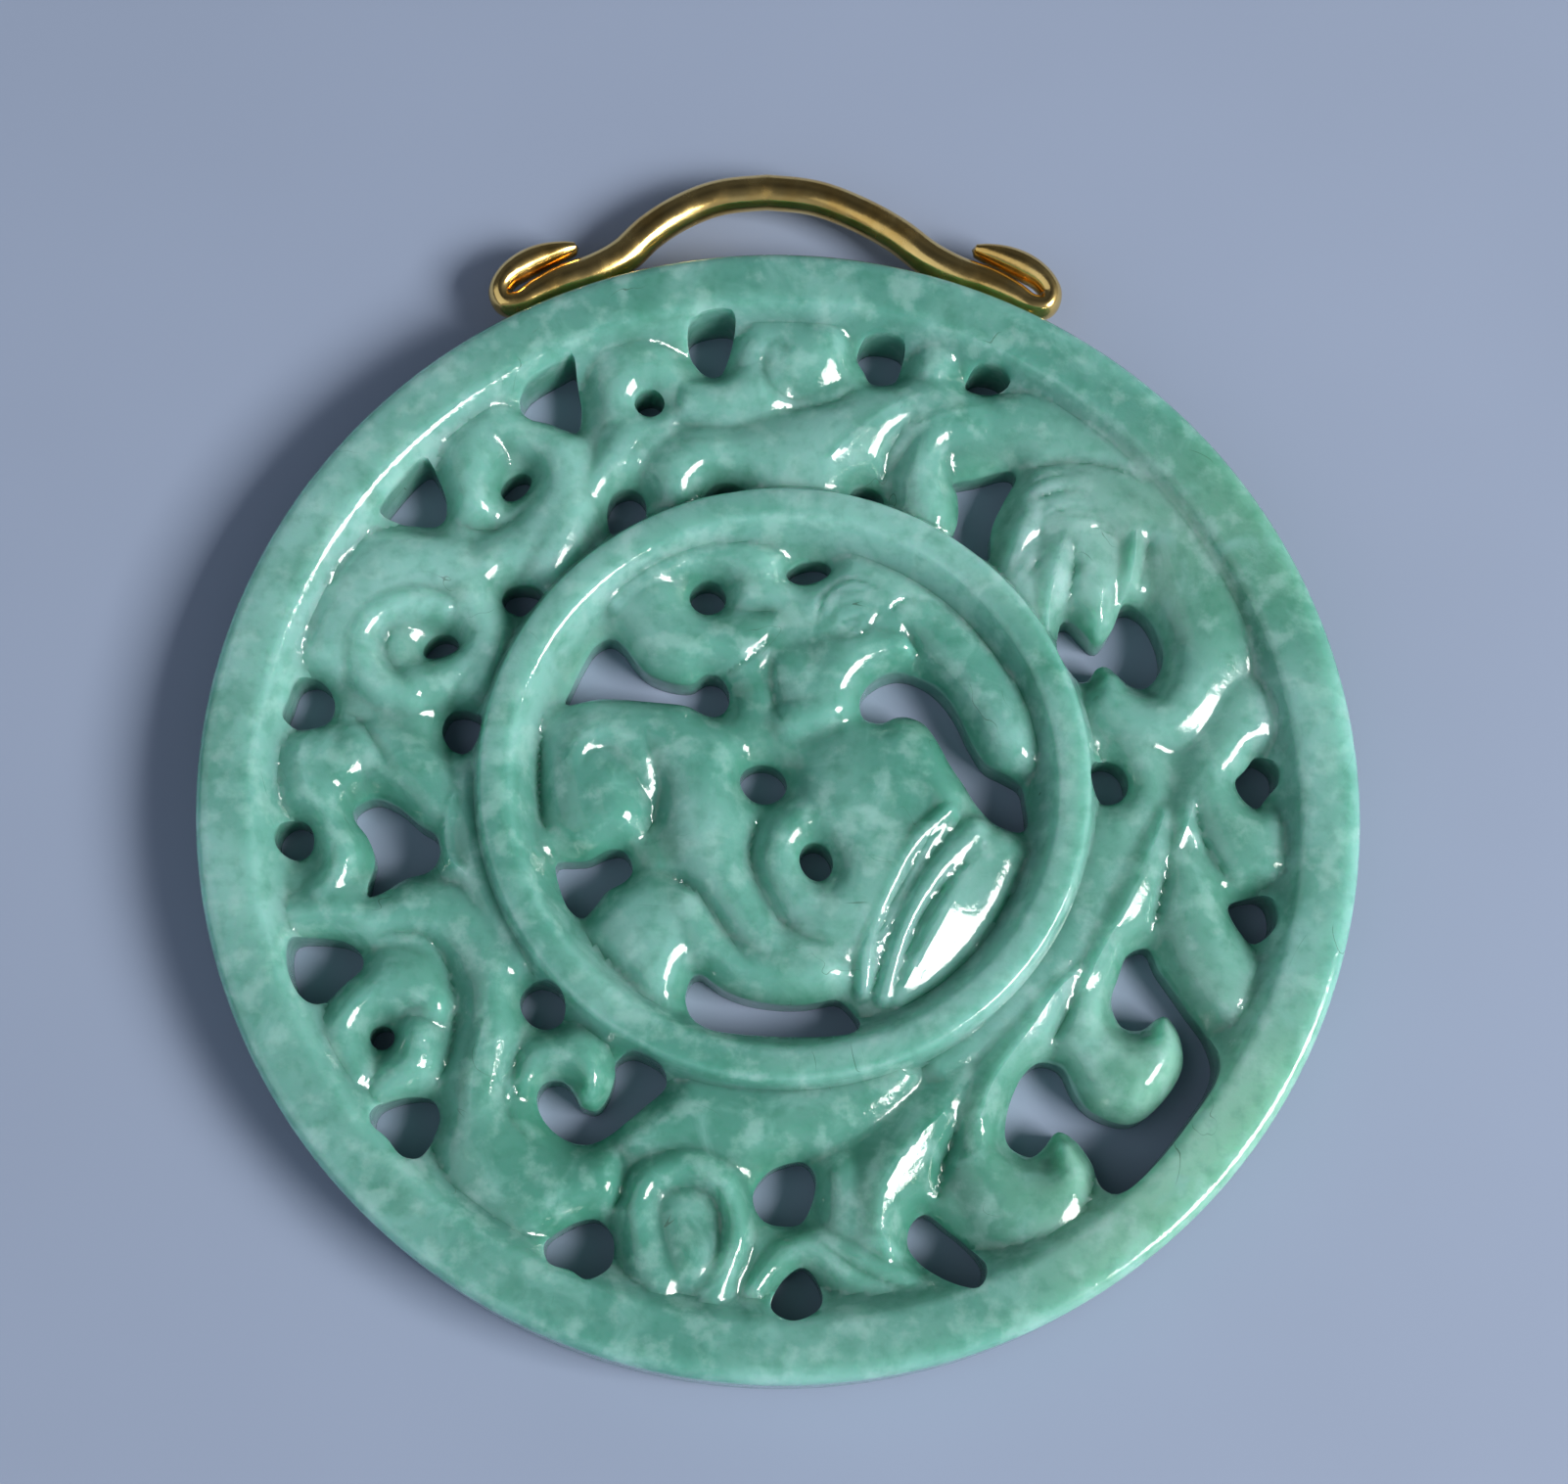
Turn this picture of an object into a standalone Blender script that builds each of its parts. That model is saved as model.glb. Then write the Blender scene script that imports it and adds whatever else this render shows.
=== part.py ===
"""Pierced jade pendant: a carved disc with a raised rim and ring, and a gold wire bail.

The disc lies on its flat back. X runs to its right, Y towards the bail and Z out of its
carved face. The origin is under the middle of the whole outline, on the plane of the back.
"""
import bpy
import numpy as np
from math import pi, radians
from mathutils import Vector
from mathutils.geometry import delaunay_2d_cdt

# Disc sizes, in metres
DISC_DIAMETER = 0.055
DISC_THICKNESS = 0.004
RIM_BREADTH = 0.0025
RIM_SLOPE = 0.0014
FIELD_MARGIN = 0.0035
EDGE_ROUNDING = 0.0006
BACK_ROUNDING = 0.0005
RING_RADIUS = 0.0143
RING_RIGHT = 0.0002
RING_UP = 0.0006
RING_BREADTH = 0.00115
RING_INNER_SLOPE = 0.0011
RING_OUTER_SLOPE = 0.0007
OPENING_ROUNDING = 0.0016

# Bail sizes, in metres
BAIL_WIRE = 0.0018
BAIL_RISE = 0.0050
BAIL_LEAN = 0.0004
BAIL_GAP = 0.0003

# Levels of the carving, as shares of the disc's thickness
WEB_LEVEL = 0.64
FOOT_LEVEL = 0.62
LIMB_ROOT = 0.54
OPENING_DROP = 0.20
BLEND = 0.05

# Share of a slope's breadth that its rounded upper edge takes
ARRIS = 0.35

# Reach of the bail to each side of its top, in degrees around the disc
BAIL_REACH = 28

# Fullness of the limbs and valleys, as a share of their listed half widths, and the power
# of the curve by which the jade falls into a valley or an opening
LIMB_FULLNESS = 1.3
VALLEY_FULLNESS = 1.7
CREASE = 2.0

# Fineness of the solids: sides of the circles and the wire, and pitches in metres
RIM_SIDES = 144
RING_SIDES = 88
OUTLINE_PITCH = 0.0009
SURFACE_PITCH = 0.00098
WIRE_SIDES = 12
BAIL_STEPS = 2

# Sawn openings of the outer field: clock degrees, hundredths of its breadth
FIELD_OPENINGS = (
    ((349.2, 92), (350.2, 105), (354.8, 106), (354.6, 92), (352.8, 77.5), (350.6, 79)),
    ((327.4, 95), (329.5, 102), (333.6, 104), (335.6, 104), (335, 93), (334, 79), (332.3, 69),
     (330.7, 72), (329.2, 79), (327.5, 86)),
    ((306.2, 100), (310, 102), (314, 102), (314.6, 97), (313.3, 83), (311.8, 76), (310.5, 74),
     (309, 77), (307, 90)),
    ((328.6, 10), (330, 22), (332.5, 29), (335.5, 28), (336.8, 20), (335.6, 10), (333, 5.5),
     (330.5, 6)),
    ((346.6, 9), (348.5, 15), (351, 15.5), (354, 11), (354.6, 4), (352, 1.5), (348.8, 3)),
    ((10, 90), (11.2, 100), (15.2, 100), (15.6, 85), (15, 77.5), (12.6, 75.5), (11.2, 82)),
    ((24, 88), (24.3, 100), (27, 104), (28.8, 99), (27.5, 91), (26, 87.5)),
    ((28.2, 37), (31, 47), (34.2, 60), (35.8, 58), (36.4, 42), (37.5, 26), (40.4, 12), (39.8, 3),
     (36, 2), (33, 4), (32.3, 17), (30, 31)),
    ((60, 50), (62.3, 58.5), (67, 59), (70.5, 54), (72.6, 42), (70.5, 32), (67.5, 28), (67, 22),
     (68.4, 14), (66.5, 4.5), (63, 2), (60.3, 8), (57.4, 16.5), (57.8, 22), (61, 24.5), (63.5, 28),
     (62.5, 38)),
    ((84.9, 90), (86.3, 98.5), (88.5, 98.5), (90, 93), (91.5, 87), (90.3, 80), (88, 77), (86.5, 83)),
    ((101.8, 93), (103, 100), (105.5, 101.5), (107.8, 95), (106.8, 86), (104.8, 79), (103.2, 80)),
    ((112.6, 47), (115, 39), (119, 40), (122.5, 43), (124.6, 53), (123.5, 62), (121.2, 65.5),
     (120.3, 70), (122, 80), (125, 88), (130, 89.3), (133.8, 85), (136, 70), (136, 57), (134.7, 44),
     (136.5, 35), (140.5, 35), (145, 43), (147.7, 55), (146.3, 66), (144, 66.5), (141.3, 64.5),
     (140.3, 73), (140.6, 86), (141.9, 98), (140, 105.5), (130, 104.5), (123.5, 103), (120.3, 93),
     (118, 76), (115, 57)),
    ((157.5, 100), (159.3, 108), (161.5, 103), (163.8, 91), (165, 80), (163.8, 71), (161.5, 68.5),
     (159.8, 78), (158.3, 88)),
    ((175.3, 45), (177.3, 61), (180, 63.5), (183, 60.5), (184.3, 50), (182.5, 40), (179.5, 35.5),
     (176.5, 35.5)),
    ((175.8, 96), (176.8, 103), (179.5, 106.5), (181.6, 100), (180.3, 88), (178, 82), (176.4, 87)),
    ((199.9, 96), (201.5, 104.5), (203.5, 103.5), (206, 104.5), (207.5, 96), (205.8, 84),
     (203.5, 77.5), (201.3, 80), (200.1, 87)),
    ((201.5, 12), (203.6, 24), (206, 38), (208.5, 48.5), (212, 52.5), (216, 50.5), (218.8, 44),
     (219, 36), (217, 31.5), (214.5, 33), (212.5, 36), (210.2, 34), (209.7, 26), (210.4, 17),
     (211.6, 11), (210, 4.5), (206.5, 3), (203, 5)),
    ((224.2, 99), (225.5, 104.5), (228, 104), (230.6, 105), (231.8, 98), (230.8, 86), (228.8, 77.5),
     (226.3, 80), (225, 89)),
    ((245.1, 97), (246.5, 103.5), (250, 104.5), (253.2, 100), (253, 90), (251.5, 77), (249.5, 71.5),
     (247.2, 73), (246.2, 83)),
    ((256, 60.5), (258.5, 58.5), (261.5, 54.5), (264.5, 56.5), (267, 62), (269, 62), (270.3, 52),
     (268.8, 41), (266, 32), (263.8, 24.5), (260.3, 23.5), (258.2, 30), (257.7, 41), (256.2, 52)),
    ((278.3, 92), (279.2, 100), (281.5, 99.5), (284, 98), (285, 90), (283.8, 81), (281.5, 77.5),
     (279.2, 81)),
    ((278, 12), (279.3, 19), (282, 24), (285.5, 22), (286.5, 12), (285, 5), (281, 4), (279, 7)),
    ((292.6, 43), (294, 46), (296.5, 43), (297.5, 36), (296.5, 30), (295, 30), (293.3, 36)),
    ((305.6, 17), (306.5, 23.5), (309, 25), (311.5, 17), (312, 9), (310, 6), (307, 7.5)),
)
# Drilled openings there: clock, share, half width, half height, tilt
FIELD_DRILLINGS = (
    (342.5, 67, 7.7, 7.5, 0), (321, 61.5, 9.4, 6, 8), (16, 10.5, 9, 7, 0), (87.3, 12.5, 11.7, 10.5, 0),
    (228.3, 12, 12, 10.5, 0), (238.5, 79, 6, 6, 0), (265, 90.5, 10, 9.3, 0),
)
# Sawn openings inside the ring: hundredths of its radius, right and up
RING_OPENINGS = (
    ((-73, 28.5), (-71, 36), (-67, 44.5), (-63.5, 50), (-58.5, 52.5), (-54, 49.5), (-50.5, 44.5),
     (-45.5, 39.5), (-38, 36.5), (-31, 36), (-26, 39), (-21, 38), (-18.3, 33), (-19, 27.5),
     (-23, 24.5), (-28, 25.5), (-33, 28), (-45, 29), (-60, 30)),
    ((-76, -26), (-70, -25), (-65, -24.5), (-58, -21.5), (-53, -22), (-50.5, -28), (-53, -32.5),
     (-59, -36), (-62.5, -40.5), (-67, -44.5), (-71.5, -42), (-74.5, -35)),
    ((-33, -70), (-31, -64.5), (-28, -63.5), (-24.5, -66), (-20, -69), (-12, -72), (-2, -73.5),
     (6, -73.5), (12, -72.5), (17, -72), (21, -75), (24, -80), (22, -84), (15, -85.5), (0, -85.3),
     (-14, -84.5), (-24, -83.5), (-30, -80), (-32.5, -75)),
    ((25.5, 28), (27, 23.5), (32.5, 21.8), (38, 24), (42.5, 24), (47.5, 21.5), (51, 16), (55.5, 7),
     (60.5, 0), (63.5, -5), (67, -9.5), (71.5, -13.5), (78, -15.5), (81.3, -13), (80.8, -4), (79.5, 1),
     (74, 4.5), (68, 8), (63, 16), (59, 25), (54.5, 32), (49, 37), (42, 40), (35.5, 39.5), (29.5, 36),
     (26.5, 32)),
)
# Drilled openings there: right, up, half width, half height, tilt
RING_DRILLINGS = (
    (-25.5, 66, 6.3, 6.5, 0), (9, 75.5, 8, 4.6, 14), (-7, 1.3, 8, 7, -15), (10.2, -26.3, 5.6, 6.8, 12),
)
# Rounded limbs of the outer field: clock, share, half width, crown level
FIELD_LIMBS = (
    ((341.5, 94, 22, 82), (342, 74, 22, 85), (340, 55, 17, 82), (335, 42, 13, 80),
     (330.5, 34, 11, 76)),
    ((348, 62, 12, 80), (353, 60, 16, 79), (358, 66, 18, 80)),
    ((357, 92, 20, 83), (363, 86, 22, 85), (366, 94, 16, 83)),
    ((343.5, 26, 18, 84), (348, 30, 15, 83), (354, 27, 15, 82), (362, 28, 22, 82), (369, 38, 24, 86),
     (375, 54, 22, 87), (381, 68, 20, 86), (390, 82, 20, 84), (400, 93, 20, 84), (410, 97, 18, 84)),
    ((19.6, 98, 17, 84), (19.6, 88, 13, 84)),
    ((27, 72, 15, 86), (23, 56, 12, 87), (23, 38, 12, 84), (25.5, 22, 16, 82), (29, 12, 12, 82)),
    ((42, 62, 17, 80), (46, 76, 20, 82), (52, 84, 18, 82)),
    ((40.5, 50, 10, 82), (43, 30, 11, 82), (47, 14, 12, 81), (54, 3, 10, 80)),
    ((42, 58, 20, 83), (48, 52, 21, 87), (54, 44, 19, 87), (60, 34, 13, 83)),
    ((52, 97, 20, 84), (60, 94, 26, 84), (68, 83, 27, 86), (74, 68, 20, 87), (78, 52, 16, 86),
     (78, 34, 15, 84), (74, 22, 13, 82), (70.5, 26, 7, 80)),
    ((80, 86, 22, 82), (88, 68, 20, 80), (95, 55, 16, 79)),
    ((90.5, 68, 16, 83), (95, 80, 24, 86), (98, 92, 14, 83)),
    ((82, 30, 16, 76), (93, 19, 20, 79), (104, 13, 20, 80), (116, 11, 18, 80), (128, 9, 14, 80),
     (140, 9, 12, 79), (150, 10, 10, 78)),
    ((236, 9, 12, 79), (252, 8, 12, 80), (268, 8, 12, 80), (282, 7, 10, 78)),
    ((100, 52, 14, 78), (106, 62, 18, 81), (111, 80, 22, 84), (115, 92, 14, 83)),
    ((104, 36, 7, 78), (114, 32, 9, 81), (124, 33, 12, 82), (130, 42, 14, 82), (131, 58, 18, 85),
     (129, 73, 19, 88), (124, 75, 10, 84), (121.5, 69, 5, 78)),
    ((124, 17, 8, 78), (133, 22, 11, 79), (141, 26, 13, 80), (147, 34, 13, 80), (151, 46, 11, 80),
     (152.5, 56, 8, 79)),
    ((153, 58, 14, 82), (152, 76, 18, 85), (148.2, 90, 18, 87), (143.8, 86, 10, 84),
     (142.4, 74, 6, 80)),
    ((148, 20, 9, 76), (154, 26, 12, 78), (161, 34, 13, 78), (165.8, 48, 12, 79), (168.4, 63, 10, 79),
     (168, 82, 7, 78)),
    ((158, 6, 10, 80), (168, 10, 18, 82), (178, 14, 21, 83), (189, 17, 21, 83), (197, 21, 19, 82),
     (203, 34, 12, 79)),
    ((164, 102, 8, 77), (168, 92, 11, 80), (172.5, 82, 13, 81), (177.5, 76, 13, 80), (181, 83, 9, 78),
     (183, 92, 7, 76)),
    ((171, 62, 16, 80), (172, 46, 14, 79)),
    ((188, 96, 11, 82), (186.2, 78, 8, 83), (186.2, 60, 8, 84), (188.6, 47, 8, 84), (193.4, 42, 9, 83),
     (198, 50, 9, 83), (199.4, 62, 10, 83), (197.5, 80, 12, 83), (194, 94, 13, 82)),
    ((191, 86, 15, 82), (192.5, 66, 14, 81)),
    ((205, 62, 16, 81), (210, 78, 24, 84), (217, 80, 26, 85), (222, 72, 20, 84), (227, 50, 14, 86),
     (232, 32, 14, 86), (239, 20, 15, 83), (247, 22, 17, 82), (252.5, 42, 17, 83), (254.5, 70, 18, 83),
     (255, 92, 14, 82)),
    ((220.8, 41, 8, 80), (221.5, 28, 13, 81), (217, 20, 14, 83), (213.2, 22, 11, 83), (212, 31, 7, 80)),
    ((236, 98, 10, 80), (241.5, 91, 14, 84), (244.6, 75, 16, 85), (243.2, 59, 15, 84),
     (238.5, 51, 11, 82)),
    ((232.3, 92, 10, 82), (233.3, 76, 13, 86), (235.7, 66, 11, 86)),
    ((276, 82, 17, 85), (269, 78, 15, 83), (264, 69, 13, 84), (260.3, 70, 11, 83), (257.6, 80, 10, 82)),
    ((266, 18, 16, 80), (273, 32, 18, 82), (277, 58, 14, 80), (274, 70, 14, 82)),
    ((288, 88, 16, 84), (294, 88, 22, 86), (300, 82, 22, 86), (304, 66, 17, 86), (305.5, 46, 16, 84),
     (302, 28, 16, 82), (296, 14, 12, 80), (290, 14, 12, 79)),
    ((300, 44, 9, 83), (298.5, 60, 10, 86), (295.5, 72, 10, 88), (291.5, 76, 10, 87),
     (287.8, 69, 10, 86), (285.8, 56, 10, 85), (286, 42, 10, 83)),
    ((287.5, 40, 12, 83), (290, 30, 12, 84), (294, 23, 10, 84), (298, 21, 8, 82)),
    ((315.6, 70, 15, 84), (318, 86, 18, 87), (323, 94, 14, 84), (327.3, 78, 14, 84),
     (328.3, 58, 15, 84), (325, 41, 16, 82), (317, 33, 17, 79), (309, 38, 15, 80)),
    ((312.5, 14, 11, 79), (319, 21, 13, 83), (326, 31, 11, 82)),
)
# Limbs there that come to a crest
FIELD_BLADES = (
    ((47.2, 47, 12, 86), (48.6, 38, 18, 92), (51, 26, 18, 92), (54, 15, 12, 89), (58.5, 4, 6, 84)),
    ((52.5, 78, 8, 82), (55.6, 67, 13, 87), (58.4, 56, 13, 87), (60.2, 46, 8, 83)),
    ((93, 40, 8, 77), (98, 36, 14, 84), (104, 32, 17, 87), (111, 28.5, 17, 88), (118, 27, 14, 87),
     (124, 29, 9, 83)),
    ((86.5, 61, 7, 78), (90, 56.5, 10, 83), (94, 52, 10, 83), (98, 48, 7, 78)),
    ((8.5, 23, 10, 86), (12, 40, 17, 90), (16, 58, 17, 90), (19, 70, 9, 86)),
    ((154, 30, 9, 82), (159, 35.5, 16, 88), (163.5, 43, 20, 91), (166.8, 55, 21, 92), (168, 68, 19, 91),
     (167.4, 80, 12, 86)),
    ((121, 22, 8, 80), (127.2, 19, 13, 87), (134.5, 21.5, 16, 90), (141, 25.2, 17, 91),
     (146, 31.3, 16, 90), (150, 41, 12, 86)),
    ((278, 84, 10, 83), (275.5, 87, 16, 88), (271, 83, 16, 88), (267.5, 75, 10, 83)),
    ((20.5, 53, 9, 84), (22.6, 62, 15, 89), (25.4, 71, 15, 89), (28, 79, 9, 84)),
    ((231.8, 36, 8, 86), (229.2, 46, 14, 89), (226.6, 58, 14, 88), (224, 68, 8, 84)),
    ((270, 14, 6, 80), (263.6, 19, 12, 84), (258.6, 19, 10, 83), (254.5, 12, 6, 78)),
)
# Rounded limbs inside the ring: right, up, half width, crown level
RING_LIMBS = (
    ((-44, 61, 15, 80), (-38, 53, 19, 83), (-28, 50, 17, 84), (-16, 50, 15, 80), (-4, 54, 12, 78)),
    ((-56, 63, 5, 78), (-47, 72, 7, 82), (-35, 78, 8, 82), (-18, 78, 9, 82), (-5, 74, 8, 82)),
    ((-12, 67, 9, 80), (0, 66, 11, 80)),
    ((8, 60, 14, 80), (20, 62, 17, 83), (33, 62, 14, 83), (46, 58, 10, 81)),
    ((3, 40, 10, 81), (14, 36, 16, 84), (24, 44, 14, 86), (34, 46, 9, 84), (40, 47, 6, 82)),
    ((3, 22, 8, 80), (12, 25, 9, 83), (21, 29, 7, 82)),
    ((48, 56, 9, 80), (57, 46, 11, 84), (66, 33, 12, 86), (73, 20, 12, 87), (76, 10, 9, 84)),
    ((34, 4, 24, 82), (22, -8, 22, 84), (26, -28, 20, 84), (14, -48, 17, 82), (2, -60, 12, 82)),
    ((48, 8, 12, 80), (54, -4, 8, 80)),
    ((5, -15, 13, 84), (2, -26, 13, 85), (6, -38, 12, 84)),
    ((16, -14, 11, 83), (20, -25, 9, 82)),
    ((-60, 20, 16, 82), (-44, 16, 18, 83), (-30, 6, 17, 85), (-27, -10, 15, 85), (-24, -26, 12, 84),
     (-14, -42, 10, 83), (-4, -56, 9, 81)),
    ((-64, 23, 11, 81), (-67, 9, 13, 84), (-66, -6, 12, 84), (-61, -17, 9, 81)),
    ((-71, 7, 5, 84), (-66, 15, 6, 87), (-58, 17.5, 6, 86), (-50, 14, 5, 80)),
    ((-60, -1, 12, 87), (-58, -9, 12, 87)),
    ((-50, -44, 15, 83), (-44, -51, 17, 87), (-42, -62, 12, 85)),
    ((-33, -42, 9, 82), (-26, -54, 9, 84), (-16, -62, 10, 84), (0, -66, 9, 83), (12, -64, 10, 84)),
    ((-36, -76, 7, 74), (-42, -68, 7, 74)),
    ((54, -10, 5, 83), (42, -24, 6, 84), (33, -42, 5.5, 84), (27, -58, 5, 83), (25, -70, 3, 78)),
    ((64, -16, 6, 82), (52, -28, 6, 84), (42, -44, 6, 85), (36, -60, 5, 83), (32, -72, 4, 78)),
    ((70, -22, 10, 76), (63, -34, 12, 77), (54, -50, 12, 77), (44, -64, 9, 76), (37, -72, 5, 75)),
)
# Limbs there that come to a crest
RING_BLADES = (
    ((66, -21, 8, 80), (59, -31, 13, 84), (52, -44, 15, 91), (45, -57, 12, 87), (38, -70, 6, 78)),
)
# Valleys of the outer field: path, half width, depth
FIELD_VALLEYS = (
    (((334, 33), (337.5, 42), (341.5, 48.5), (345.5, 50.5), (349.5, 48)), 7, 6),
    (((0, 52), (4, 54.5), (8, 59.5), (10.5, 68), (12.5, 76)), 5, 12),
    (((1.5, 93), (-0.7, 88), (-1.7, 77), (-1, 66), (2, 59), (6, 60)), 5, 8),
    (((20, 63), (18.4, 51), (17.4, 38), (17.8, 24), (17, 14)), 6, 12),
    (((36.3, 58), (38, 71), (41, 82), (45, 92), (49, 99)), 4, 12),
    (((39.3, 46), (41, 56), (43.4, 66)), 3.4, 8),
    (((43.6, 43), (45.4, 54), (48, 63), (51, 70)), 3, 4),
    (((44.2, 35), (45, 22), (46.2, 10)), 4, 8),
    (((48.8, 47), (51.6, 38), (54.6, 27), (57.6, 15)), 4, 10),
    (((54, 85), (56, 74), (58.5, 64), (61, 56)), 6, 12),
    (((87.3, 59), (91, 56), (95, 58.5), (98.6, 66), (101, 77), (101.8, 88)), 4, 12),
    (((99, 45), (105, 44.5), (112, 46)), 4, 10),
    (((124, 26), (131, 31), (138, 33)), 4, 9),
    (((153, 38), (156.5, 48), (159, 60), (160.3, 70)), 5, 12),
    (((163, 103), (167, 97), (171, 87), (174.5, 76), (177, 68)), 4, 9),
    (((177, 36), (171.5, 30), (167, 27)), 5, 4),
    (((183.5, 66), (184.6, 80), (185.5, 92), (184.5, 100)), 4, 8),
    (((203, 78), (201.8, 66), (202.6, 54), (204.5, 44)), 6, 12),
    (((217.5, 105), (221, 98), (224, 90)), 4, 8),
    (((208, 57), (213, 61), (218.5, 60), (222.6, 52), (224.6, 38), (226, 24)), 5, 8),
    (((229.3, 76), (231, 61), (234.5, 49), (239, 41), (244, 37), (248, 41), (250, 53),
     (250.2, 68)), 5, 13),
    (((238.9, 72), (239.6, 62), (237.8, 54)), 4, 9),
    (((254, 18), (256.5, 30), (258, 38)), 5, 8),
    (((282.7, 78), (280.6, 64), (277.6, 53), (274, 44)), 5, 12),
    (((299, 54), (295, 63), (291.8, 62.5), (289.3, 54), (289.2, 45)), 3.5, 7),
    (((304, 101), (297, 102.5), (290, 102.5), (285.5, 100)), 6, 8),
    (((311.3, 74), (312, 62), (313.8, 52), (317, 47), (321, 48), (324, 54)), 6, 13),
)
# Valleys inside the ring: path, half width, depth
RING_VALLEYS = (
    (((-20, 62), (-10, 60), (-2, 60)), 4, 8),
    (((-17, 42), (-9, 46), (-2, 51), (2, 56)), 3, 4),
    (((-4, 46), (-4.5, 36), (-3, 27), (0, 19)), 3, 9),
    (((2, 14), (12, 18), (24, 23)), 4, 9),
    (((25, 79), (40, 75), (54, 66), (64, 55), (74, 42), (80, 30)), 3, 9),
    (((41, 56), (44, 49), (47, 41)), 3.5, 9),
    (((12, 58), (14, 66), (20, 71), (27, 70)), 1.8, 5),
    (((16, 56), (18, 62), (24, 66)), 1.8, 5),
    (((14, 52), (22, 52), (27, 58)), 1.8, 5),
    (((34, 57), (39, 62), (46, 63), (55, 57)), 1.8, 4),
    (((-3, -4), (-9, -12), (-11.5, -24), (-9, -36), (-3, -45), (6, -52), (14, -55)), 5, 13),
    (((-44, -29), (-35, -32.5), (-27.5, -39), (-20.5, -50), (-12, -61)), 3.6, 13),
    (((-47, 17), (-43, 6), (-42, -5), (-45, -15), (-50, -24)), 5.5, 13),
    (((-68, 3), (-64.5, 9.5), (-58, 11.5), (-52.5, 9)), 2.4, 6),
    (((-82, 24), (-83, 8), (-82, -6), (-79, -16)), 4, 22),
    (((-70, -46), (-62, -56), (-52, -65), (-45, -70)), 4.5, 10),
    (((57, -11), (46, -21), (37.5, -36), (31, -50), (28, -64)), 2.6, 12),
    (((70, -19), (56, -31), (46, -44), (39, -58), (35, -70)), 2.4, 10),
    (((59, -14), (50, -24), (41, -38), (36, -52)), 1.2, 5),
    (((25, -76), (40, -74), (56, -63), (68, -49), (76, -34), (79, -22)), 3, 8),
)
# Hollows of the outer field: clock, share, radius, depth
FIELD_DISHES = (
    (342.5, 69, 13, 10), (351, 10, 16, 14), (16.5, 14, 15, 10), (191.5, 66, 18, 9),
    (1, 86, 6, 6), (282.5, 14, 16, 14), (308.5, 18, 13, 8), (294.8, 40, 19, 11), (321, 62, 15, 12),
    (145.5, 73, 8, 8), (238.5, 79, 9, 6),
)
# Hollows inside the ring: right, up, radius, depth
RING_DISHES = (
    (10, -26, 9, 8), (-7, 2, 12, 8), (-25, 67, 9, 8), (9, 76, 11, 8), (30, 36, 10, 5),
)

# The bail's right half from the top of its arch to the tip of its curl: hundredths of its
# reach, height (hundredths of the clear rise), half thickness and half depth (of the wire's)
BAIL_MARKS = (
    (0, 100, 100, 100), (15.7, 93, 100, 100), (29.3, 73, 100, 100), (42.5, 45, 100, 100),
    (54, 14, 100, 100), (65.4, 0, 100, 100), (77.5, -1, 96, 100), (87, -4.3, 86, 98),
    (94.5, -8.5, 72, 95), (99.8, 3, 64, 92), (99.4, 28, 64, 92), (94.5, 46, 70, 94),
    (87.5, 54, 80, 94), (80.4, 55.5, 74, 88), (73.6, 53, 54, 76), (69.5, 51, 34, 56))

DISC_RADIUS = DISC_DIAMETER / 2
FIELD_RADIUS = DISC_RADIUS - FIELD_MARGIN
FIELD_UNIT = (FIELD_RADIUS - RING_RADIUS) / 100
RING_UNIT = RING_RADIUS / 100
RING_CENTRE = np.array([RING_RIGHT, RING_UP])


def field_place(marks):
    """Turn (clock degrees, hundredths of the field's breadth) into X and Y."""
    angle = np.radians(marks[..., 0])
    outward = np.stack([np.sin(angle), np.cos(angle)], -1)
    along = outward @ RING_CENTRE
    across = RING_RIGHT * outward[..., 1] - RING_UP * outward[..., 0]
    start = along + np.sqrt(RING_RADIUS ** 2 - across ** 2)
    reach = start + (FIELD_RADIUS - start) * marks[..., 1] / 100
    return outward * reach[..., None]


def ring_place(marks):
    """Turn hundredths of the ring's radius, right and up, into X and Y."""
    return RING_CENTRE + marks[..., :2] * RING_UNIT


def flow(marks, closed, steps):
    """Run a smooth curve through the marks, column by column."""
    marks = np.array(marks, float)
    if closed:
        span = np.vstack([marks[-1], marks, marks[:2]])
    else:
        span = np.vstack([2 * marks[0] - marks[1], marks, 2 * marks[-1] - marks[-2]])
    t = (np.arange(steps) / steps)[:, None]
    pieces = []
    for a, b, c, d in zip(span, span[1:], span[2:], span[3:]):
        pieces.append(b + 0.5 * t * (c - a + t * (2 * a - 5 * b + 4 * c - d + t * (3 * b - a - 3 * c + d))))
    if not closed:
        pieces.append(marks[-1:])
    return np.vstack(pieces)


def oval(centre, half_width, half_height, turn, side=0.0, count=24):
    """An oval about a point; side turns it to the clock, turn is its own tilt."""
    k = np.arange(count) / count * 2 * pi
    x, y = half_width * np.cos(k), half_height * np.sin(k)
    a = radians(turn) - side
    return centre + np.stack([x * np.cos(a) - y * np.sin(a), x * np.sin(a) + y * np.cos(a)], -1)


def openings():
    """Outlines of every opening cut through the disc, as closed rows of X and Y."""
    found = [field_place(flow(marks, True, 8)) for marks in FIELD_OPENINGS]
    for clock, share, wide, high, turn in FIELD_DRILLINGS:
        centre = field_place(np.array([clock, share]))
        found.append(oval(centre, wide * FIELD_UNIT, high * FIELD_UNIT, turn, radians(clock)))
    found += [ring_place(flow(marks, True, 8)) for marks in RING_OPENINGS]
    for right, up, wide, high, turn in RING_DRILLINGS:
        centre = ring_place(np.array([right, up]))
        found.append(oval(centre, wide * RING_UNIT, high * RING_UNIT, turn))
    return found


def near(xy, low, high, margin):
    """Indices of the points within a box grown by a margin."""
    inside = (xy > low - margin).all(1) & (xy < high + margin).all(1)
    return np.nonzero(inside)[0]


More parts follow.
